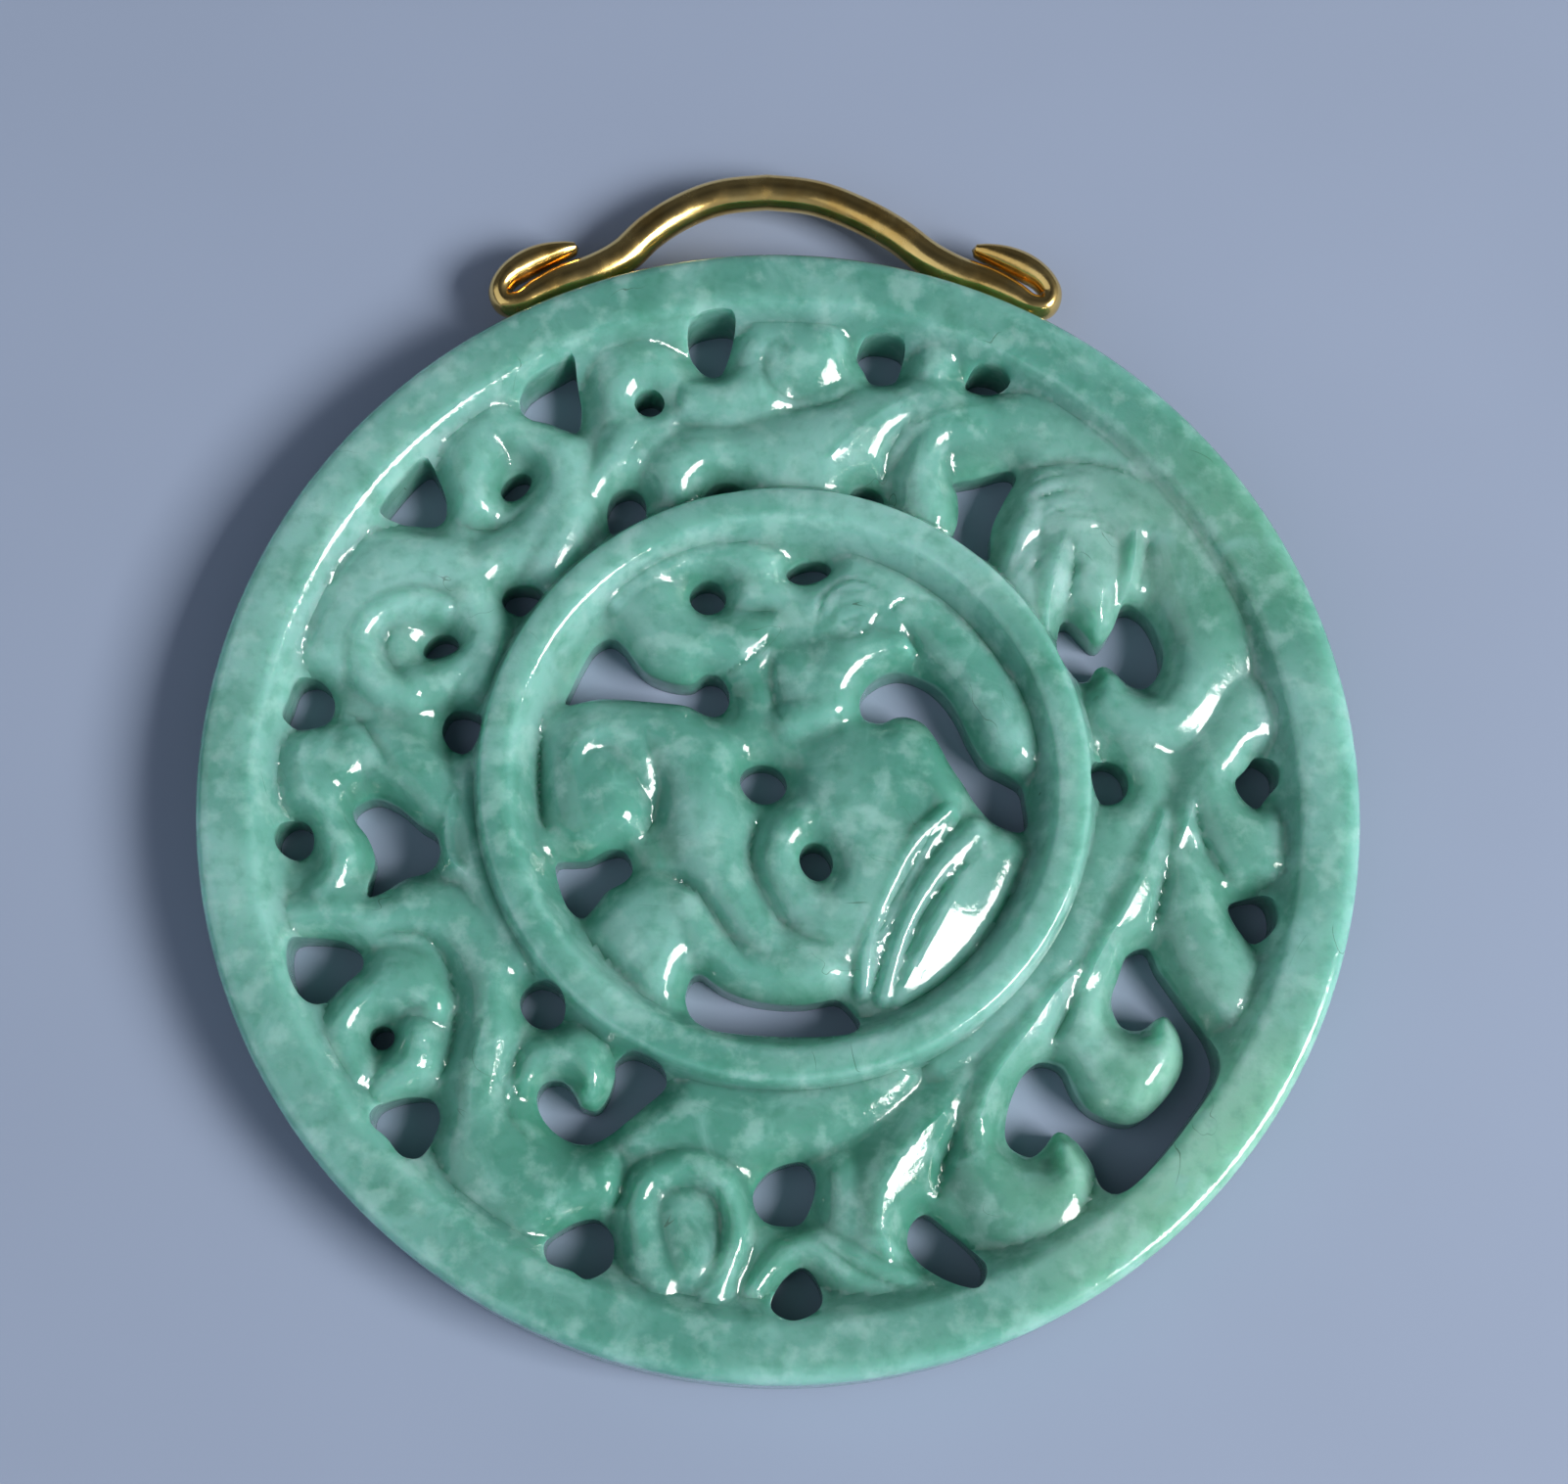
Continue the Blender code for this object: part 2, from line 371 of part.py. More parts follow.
def to_segment(xy, start, end):
    """Distance to a segment, and how far along it the nearest place is."""
    run = end - start
    t = np.clip((xy - start) @ run / max(run @ run, 1e-16), 0, 1)
    gap = xy - start - t[:, None] * run
    return np.hypot(gap[:, 0], gap[:, 1]), t


def beside(xy, path, width, level):
    """Share of the half width that each point lies from the path, and the level there."""
    share = np.full(len(xy), 9.0)
    crown = np.zeros(len(xy))
    around = near(xy, path.min(0), path.max(0), width.max())
    for i in range(len(path) - 1):
        ends = path[i:i + 2]
        close = around[near(xy[around], ends.min(0), ends.max(0), width[i:i + 2].max())]
        if not len(close):
            continue
        gap, t = to_segment(xy[close], *ends)
        here = gap / (width[i] + (width[i + 1] - width[i]) * t)
        nearer = here < share[close]
        share[close[nearer]] = here[nearer]
        crown[close[nearer]] = (level[i] + (level[i + 1] - level[i]) * t)[nearer]
    return share, crown


def higher(a, b, soft):
    """The larger of two levels, with the join rounded."""
    meet = np.clip(soft - abs(a - b), 0, None) / soft
    return np.maximum(a, b) + meet * meet * soft / 4


def ease(t):
    """A smooth rise from 0 to 1."""
    t = np.clip(t, 0, 1)
    return t * t * (3 - 2 * t)


def slope(run, breadth):
    """Share of the fall at a run down a slope whose upper edge is rounded."""
    t = np.maximum(run / breadth, 0)
    return np.where(t < ARRIS, t * t / (2 * ARRIS), t - ARRIS / 2) / (1 - ARRIS / 2)


def raise_limbs(level, xy, table, place, unit, crest):
    """Raise the limbs of a table out of the web."""
    for marks in table:
        path = flow(marks, False, 12)
        share, crown = beside(xy, place(path), path[:, 2] * unit * LIMB_FULLNESS, path[:, 3] / 100)
        on = np.nonzero(share < 1)[0]
        swell = 1 - share[on] ** crest
        level[on] = higher(level[on], LIMB_ROOT + (crown[on] - LIMB_ROOT) * swell, BLEND)


def cut_valleys(depth, xy, table, place, unit):
    """Cut the tapering valleys of a table."""
    for marks, width, deep in table:
        path = flow(marks, False, 12)
        place_in_run = np.arange(len(path)) / (len(path) - 1)
        taper = np.sqrt(np.clip(3 * np.minimum(place_in_run, 1 - place_in_run), 0.05, 1))
        half = width * unit * VALLEY_FULLNESS * (0.4 + 0.6 * taper)
        share, floor = beside(xy, place(path), half, deep / 100 * taper)
        on = share < 1
        depth[on] = np.maximum(depth[on], floor[on] * (1 - share[on]) ** CREASE)


def sink_dishes(depth, xy, table, place, unit):
    """Sink the round hollows of a table."""
    for first, second, width, deep in table:
        gap = xy - place(np.array([first, second], float))
        share = np.hypot(gap[:, 0], gap[:, 1]) / (width * unit)
        on = share < 1
        depth[on] += deep / 100 * (1 - share[on] ** 2) ** 2


def from_outlines(xy, outlines, reach):
    """Distance to the nearest outline, no further than the reach."""
    best = np.full(len(xy), reach)
    for outline in outlines:
        close = near(xy, outline.min(0), outline.max(0), reach)
        for start, end in zip(outline, np.roll(outline, -1, 0)):
            some = close[near(xy[close], np.minimum(start, end), np.maximum(start, end), reach)]
            best[some] = np.minimum(best[some], to_segment(xy[some], start, end)[0])
    return best


def surface(xy, outlines):
    """Height of the carved face above the back, in metres."""
    level = np.full(len(xy), WEB_LEVEL)
    depth = np.zeros(len(xy))
    for table, place, unit, crest in (
            (FIELD_LIMBS, field_place, FIELD_UNIT, 2), (FIELD_BLADES, field_place, FIELD_UNIT, 1.15),
            (RING_LIMBS, ring_place, RING_UNIT, 2), (RING_BLADES, ring_place, RING_UNIT, 1.15)):
        raise_limbs(level, xy, table, place, unit, crest)
    cut_valleys(depth, xy, FIELD_VALLEYS, field_place, FIELD_UNIT)
    cut_valleys(depth, xy, RING_VALLEYS, ring_place, RING_UNIT)
    sink_dishes(depth, xy, FIELD_DISHES, field_place, FIELD_UNIT)
    sink_dishes(depth, xy, RING_DISHES, ring_place, RING_UNIT)
    fall = OPENING_DROP * (1 - from_outlines(xy, outlines, OPENING_ROUNDING) / OPENING_ROUNDING) ** CREASE
    level -= higher(depth, fall, BLEND)
    radius = np.hypot(xy[:, 0], xy[:, 1])
    ring_radius = np.hypot(*(xy - RING_CENTRE).T)
    rim = slope(DISC_RADIUS - RIM_BREADTH - radius, RIM_SLOPE)
    outside = slope(ring_radius - RING_RADIUS, RING_OUTER_SLOPE)
    inside = slope(RING_RADIUS - RING_BREADTH - ring_radius, RING_INNER_SLOPE)
    level = higher(level, 1 - (1 - FOOT_LEVEL) * rim, 0.03)
    level = higher(level, 1 - (1 - FOOT_LEVEL) * np.maximum(outside, inside), 0.03)
    height = np.minimum(level, 1) * DISC_THICKNESS
    turned = np.clip(radius - (DISC_RADIUS - EDGE_ROUNDING), 0, EDGE_ROUNDING)
    return height - EDGE_ROUNDING + np.sqrt(EDGE_ROUNDING ** 2 - turned ** 2)


def spaced(outline, pitch):
    """Evenly spaced points around a closed outline, against the clock."""
    x, y = outline.T
    if x @ np.roll(y, -1) < y @ np.roll(x, -1):
        outline = outline[::-1]
    ring = np.vstack([outline, outline[:1]])
    run = np.append(0, np.cumsum(np.hypot(*np.diff(ring, axis=0).T)))
    count = max(8, round(run[-1] / pitch))
    at = np.arange(count) / count * run[-1]
    return np.stack([np.interp(at, run, ring[:, 0]), np.interp(at, run, ring[:, 1])], -1)


def circle(centre, radius, sides):
    """Points around a circle, clockwise from its top."""
    turn = np.arange(sides) / sides * 2 * pi
    return centre + radius * np.stack([np.sin(turn), np.cos(turn)], -1)


def within(xy, outline):
    """Whether each point lies inside a closed outline."""
    odd = np.zeros(len(xy), bool)
    for (x0, y0), (x1, y1) in zip(outline, np.roll(outline, -1, 0)):
        crossed = (y0 > xy[:, 1]) != (y1 > xy[:, 1])
        odd ^= crossed & (xy[:, 0] < (x1 - x0) * (xy[:, 1] - y0) / ((y1 - y0) or 1) + x0)
    return odd


def on_jade(xy, outlines):
    """Which points lie on the jade, outside every opening."""
    keep = np.hypot(xy[:, 0], xy[:, 1]) < DISC_RADIUS
    for outline in outlines:
        some = near(xy, outline.min(0), outline.max(0), 0)
        keep[some[within(xy[some], outline)]] = False
    return keep


def add_apart(points, offered, apart):
    """Add each offered point that keeps its distance from all the points so far."""
    cells = {}
    for x, y in points:
        cells.setdefault((int(x // apart), int(y // apart)), []).append((x, y))
    added = []
    for x, y in offered:
        i, j = int(x // apart), int(y // apart)
        crowd = [q for a in (i - 1, i, i + 1) for b in (j - 1, j, j + 1) for q in cells.get((a, b), ())]
        if all((x - u) ** 2 + (y - v) ** 2 >= apart ** 2 for u, v in crowd):
            cells.setdefault((i, j), []).append((x, y))
            added.append((x, y))
    return np.vstack([points, added]) if added else points


def even_grid(pitch):
    """An even triangular grid over the whole disc."""
    rise = pitch * np.sqrt(3) / 2
    count = int(DISC_RADIUS / rise) + 1
    i, j = np.meshgrid(np.arange(-count, count + 1), np.arange(-count, count + 1))
    return np.stack([(i + 0.5 * (j % 2)) * pitch, j * rise], -1).reshape(-1, 2)


def guide_rows(pitch):
    """Points along the crests and valleys of the carving."""
    rows = []
    for table, place in ((FIELD_VALLEYS, field_place), (RING_VALLEYS, ring_place)):
        rows += [place(flow(marks, False, 12)) for marks, width, deep in table]
    for table, place in ((FIELD_BLADES, field_place), (RING_BLADES, ring_place),
                         (FIELD_LIMBS, field_place), (RING_LIMBS, ring_place)):
        rows += [place(flow(marks, False, 12)) for marks in table]
    spots = []
    for row in rows:
        run = np.append(0, np.cumsum(np.hypot(*np.diff(row, axis=0).T)))
        at = np.linspace(0, run[-1], max(2, round(run[-1] / pitch)))
        spots.append(np.stack([np.interp(at, run, row[:, 0]), np.interp(at, run, row[:, 1])], -1))
    return np.vstack(spots)


def triangles(points, loops, outlines):
    """Triangulate the jade between the loops, which come first among the points."""
    edges = []
    start = 0
    for loop in loops:
        edges += [(start + k, start + (k + 1) % len(loop)) for k in range(len(loop))]
        start += len(loop)
    flat = [Vector(p) for p in points * 1000]
    verts, _, faces, origins, _, _ = delaunay_2d_cdt(flat, edges, [], 0, 1e-5)
    own = np.array([sources[0] for sources in origins])
    faces = own[np.array(faces)]
    return faces[on_jade(points[faces].mean(1), outlines)]


def disc_mesh():
    """Vertices and faces of the carved disc."""
    outlines = [spaced(outline, OUTLINE_PITCH) for outline in openings()]
    centre = np.zeros(2)
    rim = circle(centre, DISC_RADIUS, RIM_SIDES)
    loops = [rim] + outlines
    edge = np.vstack(loops)
    rims = [circle(centre, DISC_RADIUS - inward, RIM_SIDES) for inward in
            (0.3 * EDGE_ROUNDING, EDGE_ROUNDING, RIM_BREADTH, RIM_BREADTH + ARRIS * RIM_SLOPE,
             RIM_BREADTH + RIM_SLOPE)]
    rings = [circle(RING_CENTRE, RING_RADIUS - inward, RING_SIDES) for inward in
             (-RING_OUTER_SLOPE, 0, RING_BREADTH, RING_BREADTH + ARRIS * RING_INNER_SLOPE,
              RING_BREADTH + RING_INNER_SLOPE)]
    front = np.vstack([edge] + rims[:2])
    for offered, apart in ((np.vstack(rims[2:] + rings), 0.4 * OUTLINE_PITCH),
                           (guide_rows(SURFACE_PITCH), 0.62 * SURFACE_PITCH),
                           (even_grid(SURFACE_PITCH), 0.68 * SURFACE_PITCH)):
        front = add_apart(front, offered[on_jade(offered, outlines)], apart)
    top = np.column_stack([front, surface(front, outlines)])
    top_faces = triangles(front, loops, outlines)
    low = np.vstack([circle(centre, DISC_RADIUS - BACK_ROUNDING, RIM_SIDES)] + outlines)
    below = np.column_stack([low, np.zeros(len(low))])
    low_faces = triangles(low, loops, outlines)[:, ::-1] + len(top)
    belt = np.column_stack([rim, np.full(len(rim), BACK_ROUNDING)])
    belt_at = len(top) + len(below)
    walls = []
    start = 0
    for loop in loops:
        here = start + np.arange(len(loop))
        walls.append((here, here + len(top)))
        start += len(loop)
    walls[0] = (walls[0][0], belt_at + np.arange(len(rim)))
    walls.append((walls[0][1], len(top) + np.arange(len(rim))))
    sides = []
    for high, deep in walls:
        sides.append(np.column_stack([high, np.roll(high, -1), np.roll(deep, -1), deep]))
    return np.vstack([top, below, belt]), [top_faces, low_faces] + sides


def bail_line():
    """Stations of the bail's wire from one curl's tip to the other: place, half thicknesses."""
    marks = np.array(BAIL_MARKS, float)
    half = flow(marks, False, BAIL_STEPS)
    clock = half[:, 0] / 100 * radians(BAIL_REACH)
    rise = BAIL_RISE - BAIL_GAP - BAIL_WIRE
    radius = DISC_RADIUS + BAIL_GAP + BAIL_WIRE / 2 + half[:, 1] / 100 * rise
    lean = BAIL_LEAN * ease(half[:, 1] / 100) * (half[:, 0] < 60)
    x = radius * np.sin(clock)
    y = radius * np.cos(clock)
    thick = half[:, 2:] / 100 * BAIL_WIRE / 2
    right = np.column_stack([x - lean, y, thick])
    left = np.column_stack([-x - lean, y, thick])
    return np.vstack([left[:0:-1], right])


def bail_mesh():
    """Vertices and faces of the bail, a wire swept along its line."""
    line = bail_line()
    ends = np.vstack([2 * line[0] - line[1], line, 2 * line[-1] - line[-2]])
    run = ends[2:, :2] - ends[:-2, :2]
    run /= np.hypot(run[:, 0], run[:, 1])[:, None]
    turn = np.arange(WIRE_SIDES) / WIRE_SIDES * 2 * pi
    out = np.cos(turn)[None, :, None] * line[:, 2, None, None]
    up = np.sin(turn)[None, :] * line[:, 3, None]
    across = np.stack([run[:, 1], -run[:, 0]], -1)[:, None]
    flat = line[:, None, :2] + across * out
    tube = np.concatenate([flat, up[..., None] + DISC_THICKNESS / 2], -1).reshape(-1, 3)
    tips = [np.append(line[k, :2] + side * run[k] * line[k, 2] * 0.6, DISC_THICKNESS / 2)
            for k, side in ((0, -1), (-1, 1))]
    last = (len(line) - 1) * WIRE_SIDES
    sides = []
    caps = []
    for k in range(WIRE_SIDES):
        beyond = (k + 1) % WIRE_SIDES
        start = np.arange(0, last, WIRE_SIDES)
        after = start + WIRE_SIDES
        sides.append(np.column_stack([start + k, after + k, after + beyond, start + beyond]))
        caps.append((k, beyond, len(tube)))
        caps.append((last + beyond, last + k, len(tube) + 1))
    return np.vstack([tube, tips]), sides + [np.array(caps)]


def finish(name, colour, metallic, roughness):
    """A plain surface finish."""
    material = bpy.data.materials.new(name)
    material.use_nodes = True
    shader = material.node_tree.nodes["Principled BSDF"]
    shader.inputs["Base Color"].default_value = (*colour, 1)
    shader.inputs["Metallic"].default_value = metallic
    shader.inputs["Roughness"].default_value = roughness
    return material


def add_piece(name, shape, material):
    """Place one piece, with the origin under the middle of the whole outline."""
    points, faces = shape
    moved = points - [0, BAIL_RISE / 2, 0]
    mesh = bpy.data.meshes.new(name)
    mesh.from_pydata(moved.tolist(), [], [face for group in faces for face in group.tolist()])
    mesh.materials.append(material)
    mesh.shade_smooth()
    mesh.set_sharp_from_angle(angle=radians(42))
    piece = bpy.data.objects.new(name, mesh)
    bpy.context.scene.collection.objects.link(piece)
    return piece


for old in list(bpy.data.objects):
    bpy.data.objects.remove(old)
add_piece("carved_jade_disc", disc_mesh(), finish("jade", (0.19, 0.42, 0.31), 0, 0.12))
add_piece("gold_bail", bail_mesh(), finish("gold", (0.83, 0.60, 0.22), 1, 0.18))
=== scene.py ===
"""Dressed jade pendant: the carved disc's full relief and finish, its gold bail and the studio.

Everything is in metres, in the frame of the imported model: the disc lies on its flat back,
Y runs towards the bail and Z out of the carved face.
"""

import logging
from collections.abc import Sequence
from dataclasses import dataclass, field
from enum import Enum
from math import pi, radians

import bpy
import numpy as np
from mathutils import Matrix, Vector
from mathutils.geometry import delaunay_2d_cdt


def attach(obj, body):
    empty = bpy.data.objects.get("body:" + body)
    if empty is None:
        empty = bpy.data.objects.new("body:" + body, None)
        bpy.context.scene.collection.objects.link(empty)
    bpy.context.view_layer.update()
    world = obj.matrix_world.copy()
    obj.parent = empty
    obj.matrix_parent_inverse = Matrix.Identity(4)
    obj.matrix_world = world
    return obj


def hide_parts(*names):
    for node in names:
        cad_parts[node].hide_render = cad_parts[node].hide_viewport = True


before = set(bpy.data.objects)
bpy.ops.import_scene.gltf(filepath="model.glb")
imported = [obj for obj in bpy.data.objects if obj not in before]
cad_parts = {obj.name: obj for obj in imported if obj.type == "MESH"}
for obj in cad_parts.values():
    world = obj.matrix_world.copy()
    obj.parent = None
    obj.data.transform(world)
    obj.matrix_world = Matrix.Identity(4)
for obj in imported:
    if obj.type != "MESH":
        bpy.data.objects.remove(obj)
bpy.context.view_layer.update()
LOG = logging.getLogger("pendant")

Marks = Sequence[tuple[float, ...]]
Loops = list[np.ndarray]
Colour = tuple[float, float, float]
Socket = bpy.types.NodeSocket

SHARP_ANGLE = radians(50)
OUT_OF_REACH = 9.0

# Sawn openings of the outer field: clock degrees, hundredths of its breadth
FIELD_OPENINGS = (
    ((349.2, 92), (350.2, 105), (354.8, 106), (354.6, 92), (352.8, 77.5), (350.6, 79)),
    ((327.4, 95), (329.5, 102), (333.6, 104), (335.6, 104), (335, 93), (334, 79), (332.3, 69),
     (330.7, 72), (329.2, 79), (327.5, 86)),
    ((306.2, 100), (310, 102), (314, 102), (314.6, 97), (313.3, 83), (311.8, 76), (310.5, 74),
     (309, 77), (307, 90)),
    ((328.6, 10), (330, 22), (332.5, 29), (335.5, 28), (336.8, 20), (335.6, 10), (333, 5.5),
     (330.5, 6)),
    ((346.6, 9), (348.5, 15), (351, 15.5), (354, 11), (354.6, 4), (352, 1.5), (348.8, 3)),
    ((10, 90), (11.2, 100), (15.2, 100), (15.6, 85), (15, 77.5), (12.6, 75.5), (11.2, 82)),
    ((24, 88), (24.3, 100), (27, 104), (28.8, 99), (27.5, 91), (26, 87.5)),
    ((28.2, 37), (31, 47), (34.2, 60), (35.8, 58), (36.4, 42), (37.5, 26), (40.4, 12), (39.8, 3),
     (36, 2), (33, 4), (32.3, 17), (30, 31)),
    ((60, 50), (62.3, 58.5), (67, 59), (70.5, 54), (72.6, 42), (70.5, 32), (67.5, 28), (67, 22),
     (68.4, 14), (66.5, 4.5), (63, 2), (60.3, 8), (57.4, 16.5), (57.8, 22), (61, 24.5), (63.5, 28),
     (62.5, 38)),
    ((84.9, 90), (86.3, 98.5), (88.5, 98.5), (90, 93), (91.5, 87), (90.3, 80), (88, 77), (86.5, 83)),
    ((101.8, 93), (103, 100), (105.5, 101.5), (107.8, 95), (106.8, 86), (104.8, 79), (103.2, 80)),
    ((112.6, 47), (115, 39), (119, 40), (122.5, 43), (124.6, 53), (123.5, 62), (121.2, 65.5),
     (120.3, 70), (122, 80), (125, 88), (130, 89.3), (133.8, 85), (136, 70), (136, 57), (134.7, 44),
     (136.5, 35), (140.5, 35), (145, 43), (147.7, 55), (146.3, 66), (144, 66.5), (141.3, 64.5),
     (140.3, 73), (140.6, 86), (141.9, 98), (140, 105.5), (130, 104.5), (123.5, 103), (120.3, 93),
     (118, 76), (115, 57)),
    ((157.5, 100), (159.3, 108), (161.5, 103), (163.8, 91), (165, 80), (163.8, 71), (161.5, 68.5),
     (159.8, 78), (158.3, 88)),
    ((175.3, 45), (177.3, 61), (180, 63.5), (183, 60.5), (184.3, 50), (182.5, 40), (179.5, 35.5),
     (176.5, 35.5)),
    ((175.8, 96), (176.8, 103), (179.5, 106.5), (181.6, 100), (180.3, 88), (178, 82), (176.4, 87)),
    ((199.9, 96), (201.5, 104.5), (203.5, 103.5), (206, 104.5), (207.5, 96), (205.8, 84),
     (203.5, 77.5), (201.3, 80), (200.1, 87)),
    ((201.5, 12), (203.6, 24), (206, 38), (208.5, 48.5), (212, 52.5), (216, 50.5), (218.8, 44),
     (219, 36), (217, 31.5), (214.5, 33), (212.5, 36), (210.2, 34), (209.7, 26), (210.4, 17),
     (211.6, 11), (210, 4.5), (206.5, 3), (203, 5)),
    ((224.2, 99), (225.5, 104.5), (228, 104), (230.6, 105), (231.8, 98), (230.8, 86), (228.8, 77.5),
     (226.3, 80), (225, 89)),
    ((245.1, 97), (246.5, 103.5), (250, 104.5), (253.2, 100), (253, 90), (251.5, 77), (249.5, 71.5),
     (247.2, 73), (246.2, 83)),
    ((256, 60.5), (258.5, 58.5), (261.5, 54.5), (264.5, 56.5), (267, 62), (269, 62), (270.3, 52),
     (268.8, 41), (266, 32), (263.8, 24.5), (260.3, 23.5), (258.2, 30), (257.7, 41), (256.2, 52)),
    ((278.3, 92), (279.2, 100), (281.5, 99.5), (284, 98), (285, 90), (283.8, 81), (281.5, 77.5),
     (279.2, 81)),
    ((278, 12), (279.3, 19), (282, 24), (285.5, 22), (286.5, 12), (285, 5), (281, 4), (279, 7)),
    ((292.6, 43), (294, 46), (296.5, 43), (297.5, 36), (296.5, 30), (295, 30), (293.3, 36)),
    ((305.6, 17), (306.5, 23.5), (309, 25), (311.5, 17), (312, 9), (310, 6), (307, 7.5)),
)
# Drilled openings there: clock, share, half width, half height, tilt
FIELD_DRILLINGS = (
    (342.5, 67, 7.7, 7.5, 0), (321, 61.5, 9.4, 6, 8), (16, 10.5, 9, 7, 0), (87.3, 12.5, 11.7, 10.5, 0),
    (228.3, 12, 12, 10.5, 0), (238.5, 79, 6, 6, 0), (265, 90.5, 10, 9.3, 0),
)
# Sawn openings inside the ring: hundredths of its radius, right and up
RING_OPENINGS = (
    ((-73, 28.5), (-71, 36), (-67, 44.5), (-63.5, 50), (-58.5, 52.5), (-54, 49.5), (-50.5, 44.5),
     (-45.5, 39.5), (-38, 36.5), (-31, 36), (-26, 39), (-21, 38), (-18.3, 33), (-19, 27.5),
     (-23, 24.5), (-28, 25.5), (-33, 28), (-45, 29), (-60, 30)),
    ((-76, -26), (-70, -25), (-65, -24.5), (-58, -21.5), (-53, -22), (-50.5, -28), (-53, -32.5),
     (-59, -36), (-62.5, -40.5), (-67, -44.5), (-71.5, -42), (-74.5, -35)),
    ((-33, -70), (-31, -64.5), (-28, -63.5), (-24.5, -66), (-20, -69), (-12, -72), (-2, -73.5),
     (6, -73.5), (12, -72.5), (17, -72), (21, -75), (24, -80), (22, -84), (15, -85.5), (0, -85.3),
     (-14, -84.5), (-24, -83.5), (-30, -80), (-32.5, -75)),
    ((25.5, 28), (27, 23.5), (32.5, 21.8), (38, 24), (42.5, 24), (47.5, 21.5), (51, 16), (55.5, 7),
     (60.5, 0), (63.5, -5), (67, -9.5), (71.5, -13.5), (78, -15.5), (81.3, -13), (80.8, -4), (79.5, 1),
     (74, 4.5), (68, 8), (63, 16), (59, 25), (54.5, 32), (49, 37), (42, 40), (35.5, 39.5), (29.5, 36),
     (26.5, 32)),
)
# Drilled openings there: right, up, half width, half height, tilt
RING_DRILLINGS = (
    (-25.5, 66, 6.3, 6.5, 0), (9, 75.5, 8, 4.6, 14), (-7, 1.3, 8, 7, -15), (10.2, -26.3, 5.6, 6.8, 12),
)
